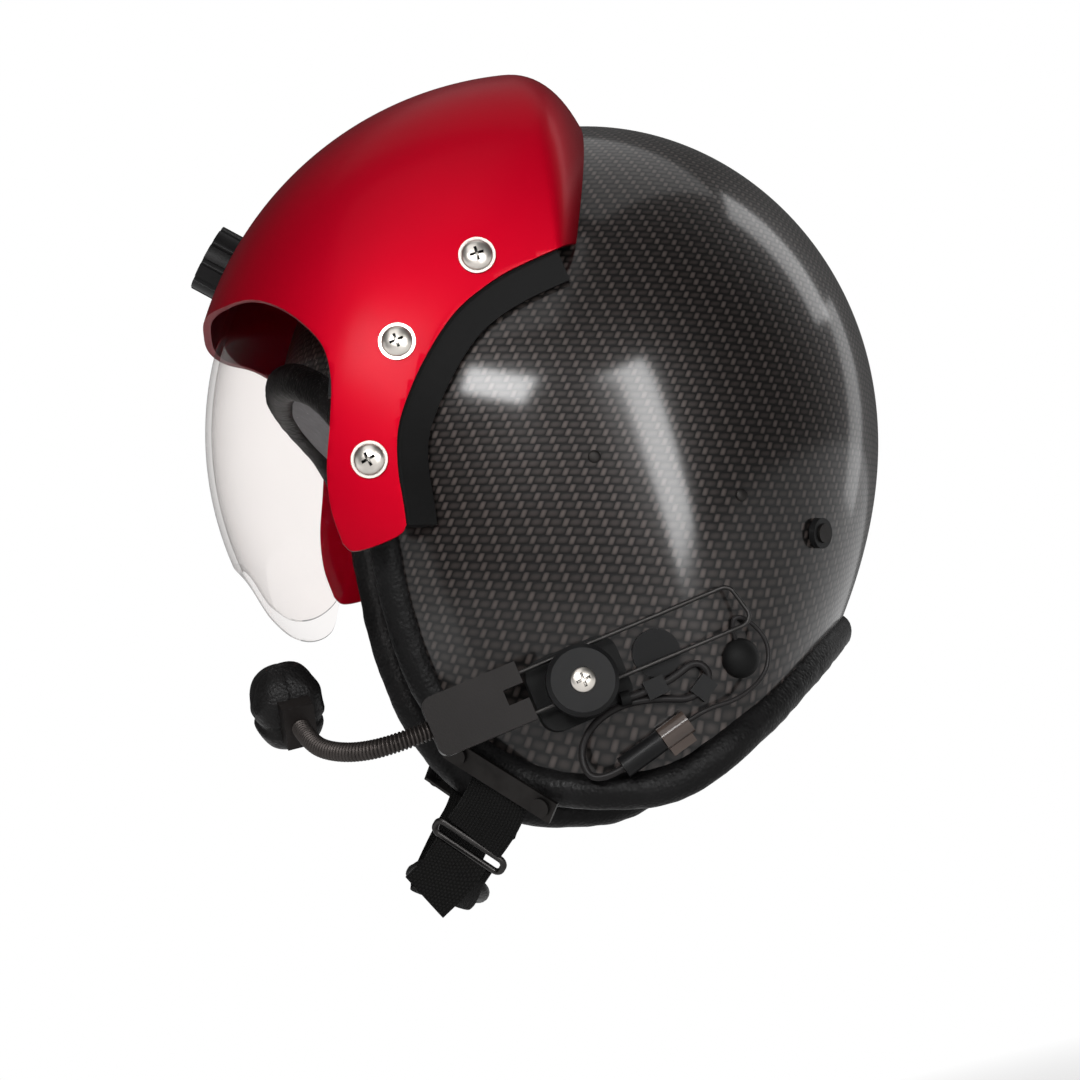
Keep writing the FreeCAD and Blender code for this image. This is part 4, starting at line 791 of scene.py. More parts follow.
def loft_faces(rows: int, columns: int, closed: bool = False) -> list[tuple[int, ...]]:
    """Faces over rings of vertices.

    Args:
        rows: How many rings.
        columns: How many vertices in a ring.
        closed: Whether the last ring joins the first; otherwise both get a cap.

    Returns:
        The faces.
    """
    faces = grid_faces(rows, columns, True)
    last = (rows - 1) * columns
    if closed:
        return faces + [(last + j, last + (j + 1) % columns, (j + 1) % columns, j) for j in range(columns)]
    return faces + [tuple(reversed(range(columns))), tuple(range(last, last + columns))]


def layer_faces(rows: int, columns: int, wrap: bool = False) -> list[tuple[int, ...]]:
    """Faces of two grids, the first turned the other way, with their edges left open.

    Args:
        rows: How many rows of vertices in each.
        columns: How many vertices in a row.
        wrap: Whether each row closes on itself.

    Returns:
        The faces.
    """
    grid, count = grid_faces(rows, columns, wrap), rows * columns
    return [tuple(reversed(face)) for face in grid] + [tuple(count + i for i in face) for face in grid]


def sheet_faces(rows: int, columns: int) -> list[tuple[int, ...]]:
    """Faces of a sheet with a thickness: an outer grid, an inner one and the strip round them.

    Args:
        rows: How many rows of vertices in each grid.
        columns: How many vertices in a row.

    Returns:
        The faces.
    """
    grid, count = grid_faces(rows, columns), rows * columns
    edge = list(range(columns))
    edge += [i * columns + columns - 1 for i in range(1, rows)]
    edge += [(rows - 1) * columns + j for j in range(columns - 2, -1, -1)]
    edge += [i * columns for i in range(rows - 2, 0, -1)]
    strip = [(b, a, count + a, count + b) for a, b in zip(edge, edge[1:] + edge[:1])]
    return grid + [tuple(count + i for i in reversed(face)) for face in grid] + strip


def face_out(piece: bpy.types.Object, weld: float = 0.0) -> bpy.types.Object:
    """Turns a mesh's faces outward and drops loose vertices.

    Args:
        piece: The object.
        weld: The distance in metres under which vertices are joined, or 0 for none.

    Returns:
        The same object.
    """
    mesh = bmesh.new()
    mesh.from_mesh(piece.data)
    bmesh.ops.delete(mesh, geom=[v for v in mesh.verts if not v.link_faces], context="VERTS")
    if weld:
        bmesh.ops.remove_doubles(mesh, verts=mesh.verts, dist=weld)
    bmesh.ops.recalc_face_normals(mesh, faces=mesh.faces)
    mesh.to_mesh(piece.data)
    mesh.free()
    return piece


def settle(piece: bpy.types.Object, sharp: float = 40.0) -> bpy.types.Object:
    """Applies a piece's modifiers to its mesh.

    Args:
        piece: The object.
        sharp: The angle in degrees over which an edge stays hard.

    Returns:
        The same object.
    """
    graph = bpy.context.evaluated_depsgraph_get()
    mesh = bpy.data.meshes.new_from_object(piece.evaluated_get(graph))
    piece.modifiers.clear()
    piece.data = mesh
    soften(mesh, sharp)
    return piece


def add_modifier(piece: bpy.types.Object, kind: str, **settings: object) -> None:
    """Adds a modifier and sets it up.

    Args:
        piece: The object.
        kind: The modifier's type.
        **settings: Its properties.
    """
    made = piece.modifiers.new(kind.lower(), kind)
    for key, value in settings.items():
        setattr(made, key, value)


def side_block(outline: Sequence[Point], half_width: float = 200.0) -> bpy.types.Object:
    """A block that trims other meshes.

    Args:
        outline: Its outline seen from the side, in millimetres.
        half_width: How far it reaches to each side.

    Returns:
        The block.
    """
    count = len(outline)
    vertices = [(s * half_width, y, z) for s in (-1, 1) for y, z in outline]
    faces = [tuple(range(count)), tuple(range(2 * count - 1, count - 1, -1))]
    faces += [(i, (i + 1) % count, count + (i + 1) % count, count + i) for i in range(count)]
    return face_out(mesh_piece("side_block", vertices, faces, bpy.data.materials[0]))


def trim(piece: bpy.types.Object, tool: bpy.types.Object, how: Cut = Cut.KEEP_INSIDE) -> None:
    """Cuts a piece with a block and removes the block.

    Args:
        piece: The object to cut.
        tool: The block.
        how: What the block does.
    """
    add_modifier(piece, "BOOLEAN", operation=how.value, object=tool, solver="EXACT")
    settle(piece)
    bpy.data.objects.remove(tool, do_unlink=True)


def tube_piece(
    name: str,
    path: Sequence[Vector],
    radius: Callable[[float, float], float],
    material: bpy.types.Material,
    sides: int = 20,
    closed: bool = False,
) -> bpy.types.Object:
    """A round piece along a path, with a flat map in metres.

    Args:
        name: The piece's name.
        path: Points of the path, in millimetres.
        radius: The radius from the share along the path and the angle round it.
        material: Its finish.
        sides: Vertices in each ring.
        closed: Whether the path closes on itself.

    Returns:
        The object.
    """
    count = len(path)
    across = None
    vertices, flat, travelled = [], [], 0.0
    for i, point in enumerate(path):
        ahead = (path[(i + 1) % count] - path[i - 1]).normalized() if closed else heading(path, i)
        if across is None:
            across = ahead.orthogonal().normalized()
        across = (across - ahead * across.dot(ahead)).normalized()
        other = ahead.cross(across)
        travelled += (point - path[i - 1]).length if i else 0.0
        for j in range(sides):
            angle = math.tau * j / sides
            reach = radius(i / max(count - 1, 1), angle)
            vertices.append(point + (across * math.cos(angle) + other * math.sin(angle)) * reach)
            flat.append((angle * reach * MM, travelled * MM))
    return mesh_piece(name, vertices, loft_faces(count, sides, closed), material, flat, 50.0)


def inside(y: float, z: float, outline: Sequence[Point]) -> bool:
    """Whether a place seen from the side lies in a closed outline.

    Args:
        y: The place's distance back.
        z: Its height.
        outline: The corners.

    Returns:
        True where it is inside.
    """
    found = False
    for (ay, az), (by, bz) in zip(outline, [*outline[1:], outline[0]]):
        if (az > z) != (bz > z) and y < (by - ay) * (z - az) / (bz - az) + ay:
            found = not found
    return found


def dress(material: bpy.types.Material, *nodes: str) -> None:
    """Gives nodes of the frame their finish.

    Args:
        material: The finish.
        *nodes: The nodes' names.
    """
    for node in nodes:
        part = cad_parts.get(node)
        if part is None:
            LOG.warning("no node %s", node)
            continue
        part.data.materials.clear()
        part.data.materials.append(material)
        LOG.info("%s wears %s", node, material.name)


def stand_for(piece: bpy.types.Object, body: str, slot: str, *nodes: str) -> None:
    """Makes a piece ride on a body in place of its nodes.

    Args:
        piece: The modelled piece.
        body: The body's name.
        slot: Not used.
        *nodes: The nodes that it stands for.
    """
    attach(piece, body)
    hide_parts(*nodes)
    LOG.info("%s stands for %s", piece.name, ", ".join(nodes))


# The dome that every layer follows
@dataclass(frozen=True)
class Dome:
    """The helmet's dome: half widths in millimetres and how they taper."""

    side: float = 120.0
    front: float = 127.0
    rear: float = 114.5
    rise: float = 122.5
    centre: float = 44.5
    depth: float = 157.0
    tapers: Place = (0.0986, 0.222, 0.813)
    powers: Point = (2.5, 2.2)
    cloth_radius: float = 0.118

    def reaches(self, level: float, inset: float = 0.0) -> Place:
        """The half widths at one height.

        Args:
            level: The height.
            inset: The depth of a layer under the surface.

        Returns:
            The reach to the side, the front and the rear.
        """
        rise = level - self.centre
        plain = (self.side, self.front, self.rear)
        if rise >= 0:
            lift = min(rise / (self.rise - inset), 1.0)
            share = math.sqrt(1 - lift * lift)
            return tuple((reach - inset) * share for reach in plain)
        drop_share = (rise / self.depth) ** 2
        return tuple(r * (1 - t * drop_share) - inset for r, t in zip(plain, self.tapers))

    def out(self, back: float, level: float, inset: float = 0.0) -> float:
        """How far out the dome stands at a place seen from the side.

        Args:
            back: The place's distance back.
            level: Its height.
            inset: The depth of a layer under the surface.

        Returns:
            The distance from the middle plane.
        """
        side, front, rear = self.reaches(level, inset)
        reach, power = (front, self.powers[0]) if back < 0 else (rear, self.powers[1])
        if reach <= 0 or abs(back) >= reach:
            return 0.0
        return side * (1 - (abs(back) / reach) ** power) ** (1 / power)

    def ring_point(self, angle: float, level: float, inset: float = 0.0) -> Vector:
        """A point of the ring at one height.

        Args:
            angle: The angle from the front, in radians.
            level: The height.
            inset: The depth of a layer under the surface.

        Returns:
            The point.
        """
        side, front, rear = self.reaches(level, inset)
        ahead = math.cos(angle) > 0
        reach, power = (front, self.powers[0]) if ahead else (rear, self.powers[1])
        if side < 0.01:
            return Vector((0, 0, level))
        across = abs(math.sin(angle)) / side
        along = abs(math.cos(angle)) / reach
        radius = (across**power + along**power) ** (-1 / power)
        return Vector((radius * math.sin(angle), -radius * math.cos(angle), level))

    def cloth_map(self, place: Vector) -> Point:
        """Lays the dome flat from the middle of each side.

        Args:
            place: A place on it, in metres.

        Returns:
            The place on the flat map, in metres.
        """
        out = Vector((abs(place.x), place.y, place.z - self.centre * MM))
        angle = math.acos(max(-1.0, min(1.0, out.x / max(out.length, 1e-6))))
        turn = math.atan2(out.z, out.y)
        reach = self.cloth_radius * angle
        return reach * math.cos(turn), reach * math.sin(turn)


DOME = Dome()
RIM: Sequence[Point] = (
    (-137.2, 98.0), (-124.0, 96.0), (-104.0, 75.0), (-95.0, 45.0), (-96.0, 15.0), (-97.0, -15.0),
    (-93.0, -48.0), (-81.5, -73.0), (-64.0, -90.5), (-43.0, -99.5), (-15.0, -103.0), (20.0, -89.0),
    (66.0, -62.5), (90.0, -51.0),
)


@dataclass
class HelmetShell:
    """The carbon shell, its padded edge roll and its small fixings."""

    finishes: Finishes
    wall: float = 3.0
    roll: float = 7.2
    around: int = 320
    rows_above: int = 64
    rows_below: int = 60
    top_angle: float = 89.2
    beyond: float = 300.0

    def build(self) -> None:
        """Builds and dresses the shell and its roll."""
        self._skin()
        self._edge_roll()
        dress(self.finishes.black, "ear_cup_screws", "nape_screw_cups", "cable_clips")
        dress(self.finishes.dark_steel, "nape_screws", "liner_rivets")
        dress(self.finishes.rubber, "cable_boot", "boom_base")

    def rim_line(self, count: int) -> list[Point]:
        """The rim seen from the side."""
        return [(p.x, p.y) for p in smooth_line(RIM, count)]

    def _skin(self) -> None:
        """The carbon skin, laid up on the dome and cut at the rim."""
        top = math.radians(self.top_angle)
        shares = [i / self.rows_above for i in range(self.rows_above, 0, -1)]
        levels = [DOME.centre + DOME.rise * math.sin(top * share) for share in shares]
        drop = DOME.depth - 1.0
        levels += [DOME.centre - drop * i / self.rows_below for i in range(self.rows_below + 1)]
        turns = [math.tau * j / self.around for j in range(self.around)]
        vertices = [DOME.ring_point(turn, level) for level in levels for turn in turns]
        rim = self.rim_line(220)
        keep = rim + [(self.beyond, rim[-1][1]), (self.beyond, self.beyond)]
        keep += [(-self.beyond, self.beyond), (-self.beyond, rim[0][1])]
        faces = []
        for face in grid_faces(len(levels), self.around, True):
            middle = sum((vertices[i] for i in face), Vector()) / 4
            if inside(middle.y, middle.z, keep):
                faces.append(face)
        faces.append(tuple(range(self.around - 1, -1, -1)))
        skin = mesh_piece("carbon_skin", vertices, faces, self.finishes.carbon, DOME.cloth_map, 60.0)
        add_modifier(face_out(skin), "SOLIDIFY", thickness=self.wall * MM, offset=-1.0)
        settle(skin, 60.0)
        stand_for(skin, "helmet", "carbon_shell", "outer_shell")

    def rim_path(self, count: int, inset: float) -> list[Vector]:
        """The whole rim as a closed line round the shell.

        Args:
            count: How many points to return.
            inset: The depth of the line under the dome's surface.

        Returns:
            The points.
        """
        shown = [p for p in self.rim_line(900) if DOME.out(*p, inset) > 0.05]
        half = [Vector((DOME.out(y, z, inset), y, z)) for y, z in shown]
        start, end = half[0].copy(), half[-1].copy()
        start.x = end.x = 0.0
        half = [start, *half, end]
        other = [Vector((-p.x, p.y, p.z)) for p in reversed(half[1:-1])]
        return spaced([*half, *other, half[0]], count, True)

    def _edge_roll(self) -> None:
        """The leather roll round the edge, with shallow puckers."""
        path = self.rim_path(520, self.wall / 2)

        def reach(share: float, angle: float) -> float:
            """The roll's radius.

            Args:
                share: The share along the rim.
                angle: The angle round the roll, in radians.

            Returns:
                The radius.
            """
            pucker = noise.noise(Vector((share * 210.0, math.cos(angle) * 1.3, math.sin(angle) * 1.3)))
            slow = noise.noise(Vector((share * 40.0, 3.1, 0.4)))
            return self.roll + 0.32 * pucker + 0.35 * slow

        roll = tube_piece("edge_roll_leather", path, reach, self.finishes.leather, 28, True)
        stand_for(roll, "helmet", "black_leather", "edge_roll")


@dataclass
class VisorHousing:
    """The red housing over the brow, with what holds it on."""

    finishes: Finishes
    radius: float = 139.5
    side: float = 122.0
    wall: float = 3.0
    power: float = 3.2
    pivot: Point = (-22.0, 48.3)
    angles: Point = (-36.0, 115.0)
    lean: float = 72.0
    grid: tuple[int, int] = (150, 121)
    closing_lean: float = 50.0
    closing_start: Point = (97.0, 4.0)
    closing_end: Point = (113.7, 0.3)
    closing_power: float = 2.2
    rear_dip: float = 4.0
    slot_half: float = 3.4
    slot_angles: Point = (40.9, 90.6)
    slot_radii: Point = (122.0, 146.0)
    edge_round: float = 0.6
    lip: Sequence[Point] = (
        (-168.9, 126.2), (-145.0, 121.5), (-135.0, 118.0), (-123.1, 115.0), (-114.0, 108.0),
        (-106.7, 98.2), (-101.9, 87.3), (-102.0, 75.3), (-106.2, 60.1), (-112.1, 42.0),
        (-114.3, 27.0), (-113.2, 14.0),
    )
    foot: Sequence[Point] = ((-113.2, 14.0), (-110.5, 10.4), (-91.4, 11.6), (-89.0, 14.2))
    rear: Sequence[Point] = (
        (-89.0, 14.2), (-88.0, 23.2), (-87.0, 34.2), (-83.1, 49.2), (-75.1, 62.2), (-64.0, 75.2),
        (-50.0, 87.2), (-32.0, 95.2), (-19.1, 98.2), (-8.0, 100.2),
    )
    above: Sequence[Point] = ((-8.0, 100.2), (51.0, 116.0), (51.0, 214.0), (-168.9, 214.0))

    def polar(self, radius: float, angle: float, out: float = 0.0) -> Vector:
        """A point at a radius and an angle in degrees about the visor's axis."""
        turn = math.radians(angle)
        return Vector((out, self.pivot[0] - radius * math.cos(turn), self.pivot[1] + radius * math.sin(turn)))

    def dome_away(self, direction: Vector) -> float:
        """The distance from the axis to the dome.

        Args:
            direction: The direction in which it is measured.

        Returns:
            The distance.
        """
        near, far = 0.0, 250.0
        start = Vector((0.0, *self.pivot))
        for _ in range(26):
            middle = (near + far) / 2
            place = start + direction * middle
            if abs(place.x) < DOME.out(place.y, place.z):
                near = middle
            else:
                far = middle
        return near

    def section(self, angle: float, inset: float, count: int) -> list[Vector]:
        """The housing's section at one angle, closing down on the dome at the rear.

        Args:
            angle: The angle about the visor's axis, in degrees.
            inset: The depth under the outer skin.
            count: How many points to return.

        Returns:
            The points, from the right side to the left.
        """
        start = Vector((0.0, *self.pivot))
        points = []
        for i in range(count):
            degrees = -self.lean + 2 * self.lean * i / (count - 1)
            lean = math.radians(degrees)
            across = abs(math.sin(lean)) / (self.side - inset)
            along = math.cos(lean) / (self.radius - inset)
            away = (across**self.power + along**self.power) ** (-1 / self.power)
            direction = self.polar(math.cos(lean), angle, math.sin(lean)) - start
            outward = (degrees / self.closing_lean) ** 2
            low, high = (a + b * outward for a, b in (self.closing_start, self.closing_end))
            closing = min(max((angle - low) / (high - low), 0.0), 1.0) ** self.closing_power
            if closing > 0:
                away += (self.dome_away(direction) - self.rear_dip - inset - away) * closing
            points.append(start + direction * away)
        return points

    def build(self) -> None:
        """Builds the housing's skin and dresses its fixings."""
        rows, columns = self.grid
        first, last = self.angles
        angles = [first + (last - first) * i / (rows - 1) for i in range(rows)]
        sections = [self.section(angle, inset, columns) for inset in (0.0, self.wall) for angle in angles]
        vertices = [place for section in sections for place in section]
        skin = face_out(mesh_piece("housing_skin", vertices, sheet_faces(rows, columns), self.finishes.red))
        lines = [smooth_line(part, 60)[:-1] for part in (self.lip, self.foot, self.rear)]
        outline = [(p.x, p.y) for line in lines for p in line]
        trim(skin, side_block([*outline, *self.above]))
        trim(skin, self._slot(), Cut.TAKE_AWAY)
        corner = math.radians(50)
        add_modifier(
            skin, "BEVEL", width=self.edge_round * MM, segments=2, limit_method="ANGLE", angle_limit=corner
        )
        settle(skin, 30.0)
        stand_for(skin, "helmet", "red_paint", "visor_housing")
        dress(self.finishes.nickel, "housing_screws", "housing_washers")
        dress(self.finishes.black, "housing_spacers", "visor_track_left", "visor_track_right")
        dress(self.finishes.rubber, "housing_gasket")

    def _slot(self, steps: int = 40) -> bpy.types.Object:
        """The curved block that cuts the slot for the lock stud.

        Args:
            steps: How many steps its arc takes.

        Returns:
            The block.
        """
        (low, high), (near, far) = self.slot_angles, self.slot_radii
        corners = ((near, -1), (near, 1), (far, 1), (far, -1))
        angles = [low + (high - low) * i / steps for i in range(steps + 1)]
        vertices = [self.polar(r, angle, out * self.slot_half) for angle in angles for r, out in corners]
        return face_out(mesh_piece("slot_block", vertices, loft_faces(steps + 1, 4), self.finishes.black))


@dataclass
class ClearVisor:
    """The clear lens that lifts into the housing, and its lock."""

    finishes: Finishes
    housing: VisorHousing
    radius: float = 133.0
    wall: float = 2.5
    reach: float = 81.0
    rear_angle: float = -14.0
    top_angle: float = 46.5
    tilts: Point = (-30.0, 58.0)
    turn: float = 80.0
    grid: tuple[int, int] = (110, 150)
    beyond: float = 249.5
    lower: Sequence[Point] = (
        (-170.2, 31.9), (-152.0, 26.0), (-143.0, 5.0), (-136.0, -3.6), (-128.0, -6.0),
        (-119.5, -2.9), (-112.0, 10.0),
    )

    def build(self) -> None:
        """Builds the lens and dresses its lock parts."""
        rows, columns = self.grid
        low, high = self.tilts
        y, z = self.housing.pivot
        shell = []
        for radius in (self.radius, self.radius - self.wall):
            for i in range(rows):
                tilt = math.radians(low + (high - low) * i / (rows - 1))
                flat, rise = radius * math.cos(tilt), radius * math.sin(tilt)
                for j in range(columns):
                    turn = math.radians(-self.turn + 2 * self.turn * j / (columns - 1))
                    shell.append(Vector((flat * math.sin(turn), y - flat * math.cos(turn), z + rise)))
        lens = face_out(mesh_piece("lens_sheet", shell, sheet_faces(rows, columns), self.finishes.lens))
        trim(lens, side_block(self._outline()))
        self._paint_edge_shade(settle(lens, 30.0))
        stand_for(lens, "visor", "clear_lens", "clear_visor")
        dress(self.finishes.black, "visor_bracket", "visor_knob", "visor_shoes")
        dress(self.finishes.dark_steel, "visor_stud")

    def _outline(self, steps: int = 40) -> list[Point]:
        """The lens seen from the side: its lower edge, the arc behind it and its top.

        Args:
            steps: How many steps the arc takes.

        Returns:
            The corners.
        """
        span = self.top_angle - self.rear_angle
        arc = [self.housing.polar(self.reach, self.rear_angle + span * i / steps) for i in range(steps + 1)]
        lower = smooth_line([*self.lower, (arc[0].y, arc[0].z)], 110)
        far = self.housing.polar(self.beyond, self.top_angle)
        outline = [(p.x, p.y) for p in lower[:-1]] + [(p.y, p.z) for p in arc]
        return outline + [(far.y, far.z), (far.y, self.lower[0][1])]

    def _paint_edge_shade(self, lens: bpy.types.Object) -> None:
        """Gives the lens's cut edges a finish of painted shade, dark as a sheet looks edge on.

        Args:
            lens: The lens.
        """
        # Painted shade: the edge faces get the dark edge finish.
        lens.data.materials.append(self.finishes.lens_edge)
        centre = Vector((0.0, *self.housing.pivot)) * MM
        for polygon in lens.data.polygons:
            if abs(polygon.normal.dot((polygon.center - centre).normalized())) < 0.7:
                polygon.material_index = 1


@dataclass
class HeadLining:
    """What the head rests on: foam, pads, ear cups and seals."""

    finishes: Finishes
    crown_inset: float = 23.6
    crown_depth: float = 9.0
    crown_low: float = 31.0
    crown_top: float = 161.5
    nape_half: Point = (51.0, 18.4)
    nape_height: float = -28.0
    nape_depth: float = 15.5
    nape_inset: float = 3.4
    nape_weld: float = 0.1
    seal_radius: float = 8.0
    seal_half: Point = (36.0, 46.0)
    ear: Point = (-15.0, -40.0)
    rim: float = 72.0
    crown_outline: Sequence[Point] = (
        (-200.0, 100.0), (-127.0, 99.8), (-60.0, 12.0), (25.0, 12.0), (38.0, -5.0), (200.0, -8.0),
        (200.0, 300.0), (-200.0, 300.0),
    )

    def build(self) -> None:
        """Builds the soft linings and dresses the rest."""
        dress(self.finishes.foam, "energy_liner")
        dress(self.finishes.black, "ear_cup_left", "ear_cup_right")
        dress(self.finishes.lining, "ear_speaker_left", "ear_speaker_right")
        self._crown_pad()
        self._nape_pad()
        for hand, side in ((1, "left"), (-1, "right")):
            self._seal(hand, side)

    def _crown_pad(self, rows: int = 60, columns: int = 200) -> None:
        """The quilted comfort pad inside the foam.

        Args:
            rows: Rows of vertices from the crown down.
            columns: Vertices in each row.
        """
        inset, depth = self.crown_inset, self.crown_depth
        height = self.crown_top - inset - self.crown_low
        vertices = []
        for layer in (0, 1):
            for i in range(rows):
                share = i / (rows - 1)
                level = self.crown_low + height * math.sin(math.radians(88) * (1 - share))
                for j in range(columns):
                    angle = math.tau * j / columns
                    quilt = abs(math.sin(angle * 6)) ** 0.45 * abs(math.sin(share * math.pi * 3)) ** 0.4
                    swell = depth - 0.4 - 1.8 * (1 - quilt) if layer else 0.3
                    if share > 0.97:
                        swell = depth * 0.5
                    vertices.append(DOME.ring_point(angle, level, inset + swell))
        count, low = rows * columns, (rows - 1) * columns
        faces = layer_faces(rows, columns, True)
        for j in range(columns):
            k = (j + 1) % columns
            faces.append((low + j, low + k, count + low + k, count + low + j))
        pad = mesh_piece("comfort_quilt", vertices, faces, self.finishes.lining, None, 60.0)
        trim(pad, side_block(self.crown_outline))
        settle(pad, 60.0)
        stand_for(pad, "helmet", "lining_cloth", "comfort_liner")

    def _nape_pad(self, rows: int = 34, columns: int = 70) -> None:
        """The pad behind the neck, crowned and drawn in at its edges.

        Args:
            rows: Rows of vertices from its lower edge up.
            columns: Vertices in each row.
        """
        power = DOME.powers[1]
        vertices = []
        for layer in (0, 1):
            for i in range(rows):
                up = -1 + 2 * i / (rows - 1)
                z = self.nape_height + self.nape_half[1] * up
                side, _, rear = DOME.reaches(z, self.nape_inset)
                for j in range(columns):
                    across = -1 + 2 * j / (columns - 1)
                    x = self.nape_half[0] * across
                    base = rear * (1 - (abs(x) / side) ** power) ** (1 / power)
                    crown = (1 - across**6) ** 0.5 * (1 - up**6) ** 0.5
                    seam = 1.0 - 0.22 * math.exp(-((up / 0.06) ** 2))
                    swell = self.nape_depth * crown * seam if layer else 0.0
                    vertices.append(Vector((x, base - swell, z)))
        faces = layer_faces(rows, columns)
        pad = mesh_piece("nape_cushion", vertices, faces, self.finishes.lining, None, 70.0)
        stand_for(face_out(pad, self.nape_weld * MM), "helmet", "lining_cloth", "nape_pad")

    def _seal(self, hand: int, side: str) -> None:
        """One ear seal: a leather ring with small creases.

        Args:
            hand: 1 on the left and -1 on the right.
            side: The side's name.
        """
        out = hand * (self.rim - self.seal_radius - 0.3)
        half_y, half_z = (half - self.seal_radius for half in self.seal_half)
        turns = [math.tau * i / 180 for i in range(180)]
        path = [
            Vector((out, self.ear[0] + half_y * math.sin(turn), self.ear[1] + half_z * math.cos(turn)))
            for turn in turns
        ]

        def reach(share: float, angle: float) -> float:
            """The seal's radius with small radial creases."""
            return self.seal_radius - 0.45 + 0.35 * abs(math.sin(share * math.tau * 26)) ** 0.5

        seal = tube_piece(f"ear_seal_leather_{side}", path, reach, self.finishes.leather, 24, True)
        stand_for(seal, "helmet", "black_leather", f"ear_seal_{side}")


@dataclass
class BoomMicrophone:
    """The boom on the left side, from its clamp to the muff."""

    finishes: Finishes
    neck_radius: float = 3.7
    groove: float = 0.75
    turns: int = 46
    neck: Sequence[Place] = (
        (120.5, -100.2, -62.0), (120.5, -113.1, -63.8), (112.0, -128.0, -63.0),
        (99.5, -139.0, -58.5), (90.0, -143.5, -52.5), (81.0, -145.0, -46.8),
    )
    muff_size: Place = (27.0, 26.0, 34.0)
    muff_lift: float = 19.6

    def build(self) -> None:
        """Builds the gooseneck and muff and dresses the rest."""
        dress(self.finishes.black, "clamp_block", "clamp_knob")
        dress(self.finishes.nickel, "clamp_screw")
        dress(self.finishes.steel, "boom_wire")
        dress(self.finishes.grey, "boom_slab", "mic_yoke")
        self._gooseneck()
        self._muff()

    def _gooseneck(self) -> None:
        """The ribbed metal neck, one groove for each turn of its strip."""

        def reach(share: float, angle: float) -> float:
            """The neck's radius with its spiral groove."""
            wave = 0.5 + 0.5 * math.cos(share * self.turns * math.tau + angle)
            return self.neck_radius - self.groove * (1 - wave**0.5)

        neck = tube_piece("gooseneck_strip", route_line(self.neck, 700), reach, self.finishes.coil, 22)
        stand_for(neck, "boom", "gooseneck_metal", "gooseneck")

    def _muff(self, rows: int = 40, columns: int = 72) -> None:
        """The leather muff over the microphone, with seams between its panels.

        Args:
            rows: Rings of vertices.
            columns: Vertices in each ring.
        """
        tip = Vector(self.neck[-1])
        axis = (tip - Vector(self.neck[-2])).normalized()
        across = Vector((0, 0, 1)).cross(axis).normalized()
        upright = axis.cross(across)
        width, deep, tall = self.muff_size
        centre = tip + axis * self.muff_lift
        vertices = []
        for i in range(rows):
            lift = -0.5 + i / (rows - 1)
            belly = max(1 - (abs(lift) * 2) ** 2.6, 0.0) ** 0.5
            belly *= 1.0 - 0.10 * math.exp(-(((lift + 0.12) / 0.05) ** 2))
            for j in range(columns):
                angle = math.tau * j / columns
                c, s = math.cos(angle), math.sin(angle)
                round_off = (abs(c) ** 3 + abs(s) ** 3) ** (-1 / 3)
                panel = 1.0 - 0.05 * math.exp(-((math.sin(angle * 2) / 0.12) ** 2))
                crumple = 1.0 + 0.05 * noise.noise(Vector((c * 2.1, s * 2.1, lift * 6.0)))
                reach = round_off * belly * panel * crumple / 2
                place = centre + across * (c * reach * width) - axis * (s * reach * deep)
                vertices.append(place + upright * (lift * tall))
        faces = loft_faces(rows, columns)
        muff = mesh_piece("muff_cover", vertices, faces, self.finishes.muff, None, 70.0)
        stand_for(muff, "mic", "muff_leather", "mic_muff")


def nurbs(
    name: str, points: Sequence[Place], radius: float, material: bpy.types.Material
) -> bpy.types.Object:
    """A round curve of one smooth spline.

    Args:
        name: The curve's name.
        points: Its control points, in millimetres.
        radius: Its radius in millimetres.
        material: Its finish.

    Returns:
        The curve object.
    """
    curve = bpy.data.curves.new(name, "CURVE")
    curve.dimensions = "3D"
    spline = curve.splines.new("NURBS")
    spline.points.add(len(points) - 1)
    for place, point in zip(points, spline.points):
        point.co = (*(c * MM for c in place), 1.0)
    spline.order_u = 3
    spline.use_endpoint_u = True
    spline.resolution_u = 12
    curve.bevel_depth = radius * MM
    curve.bevel_resolution = 6
    curve.use_fill_caps = True
    curve.materials.append(material)
    made = bpy.data.objects.new(name, curve)
    bpy.context.collection.objects.link(made)
    return made


def route_line(points: Sequence[Place], count: int) -> list[Vector]:
    """Evenly spaced points read from a route's own smooth spline.

    Args:
        points: The route, in millimetres.
        count: How many points to return.

    Returns:
        The points, in millimetres.
    """
    helper = nurbs("route_helper", points, 0.0, bpy.data.materials[0])
    helper.data.splines[0].resolution_u = 64
    graph = bpy.context.evaluated_depsgraph_get()
    mesh = bpy.data.meshes.new_from_object(helper.evaluated_get(graph))
    dense = [v.co / MM for v in mesh.vertices]
    bpy.data.objects.remove(helper, do_unlink=True)
    bpy.data.meshes.remove(mesh)
    return spaced(dense, count)


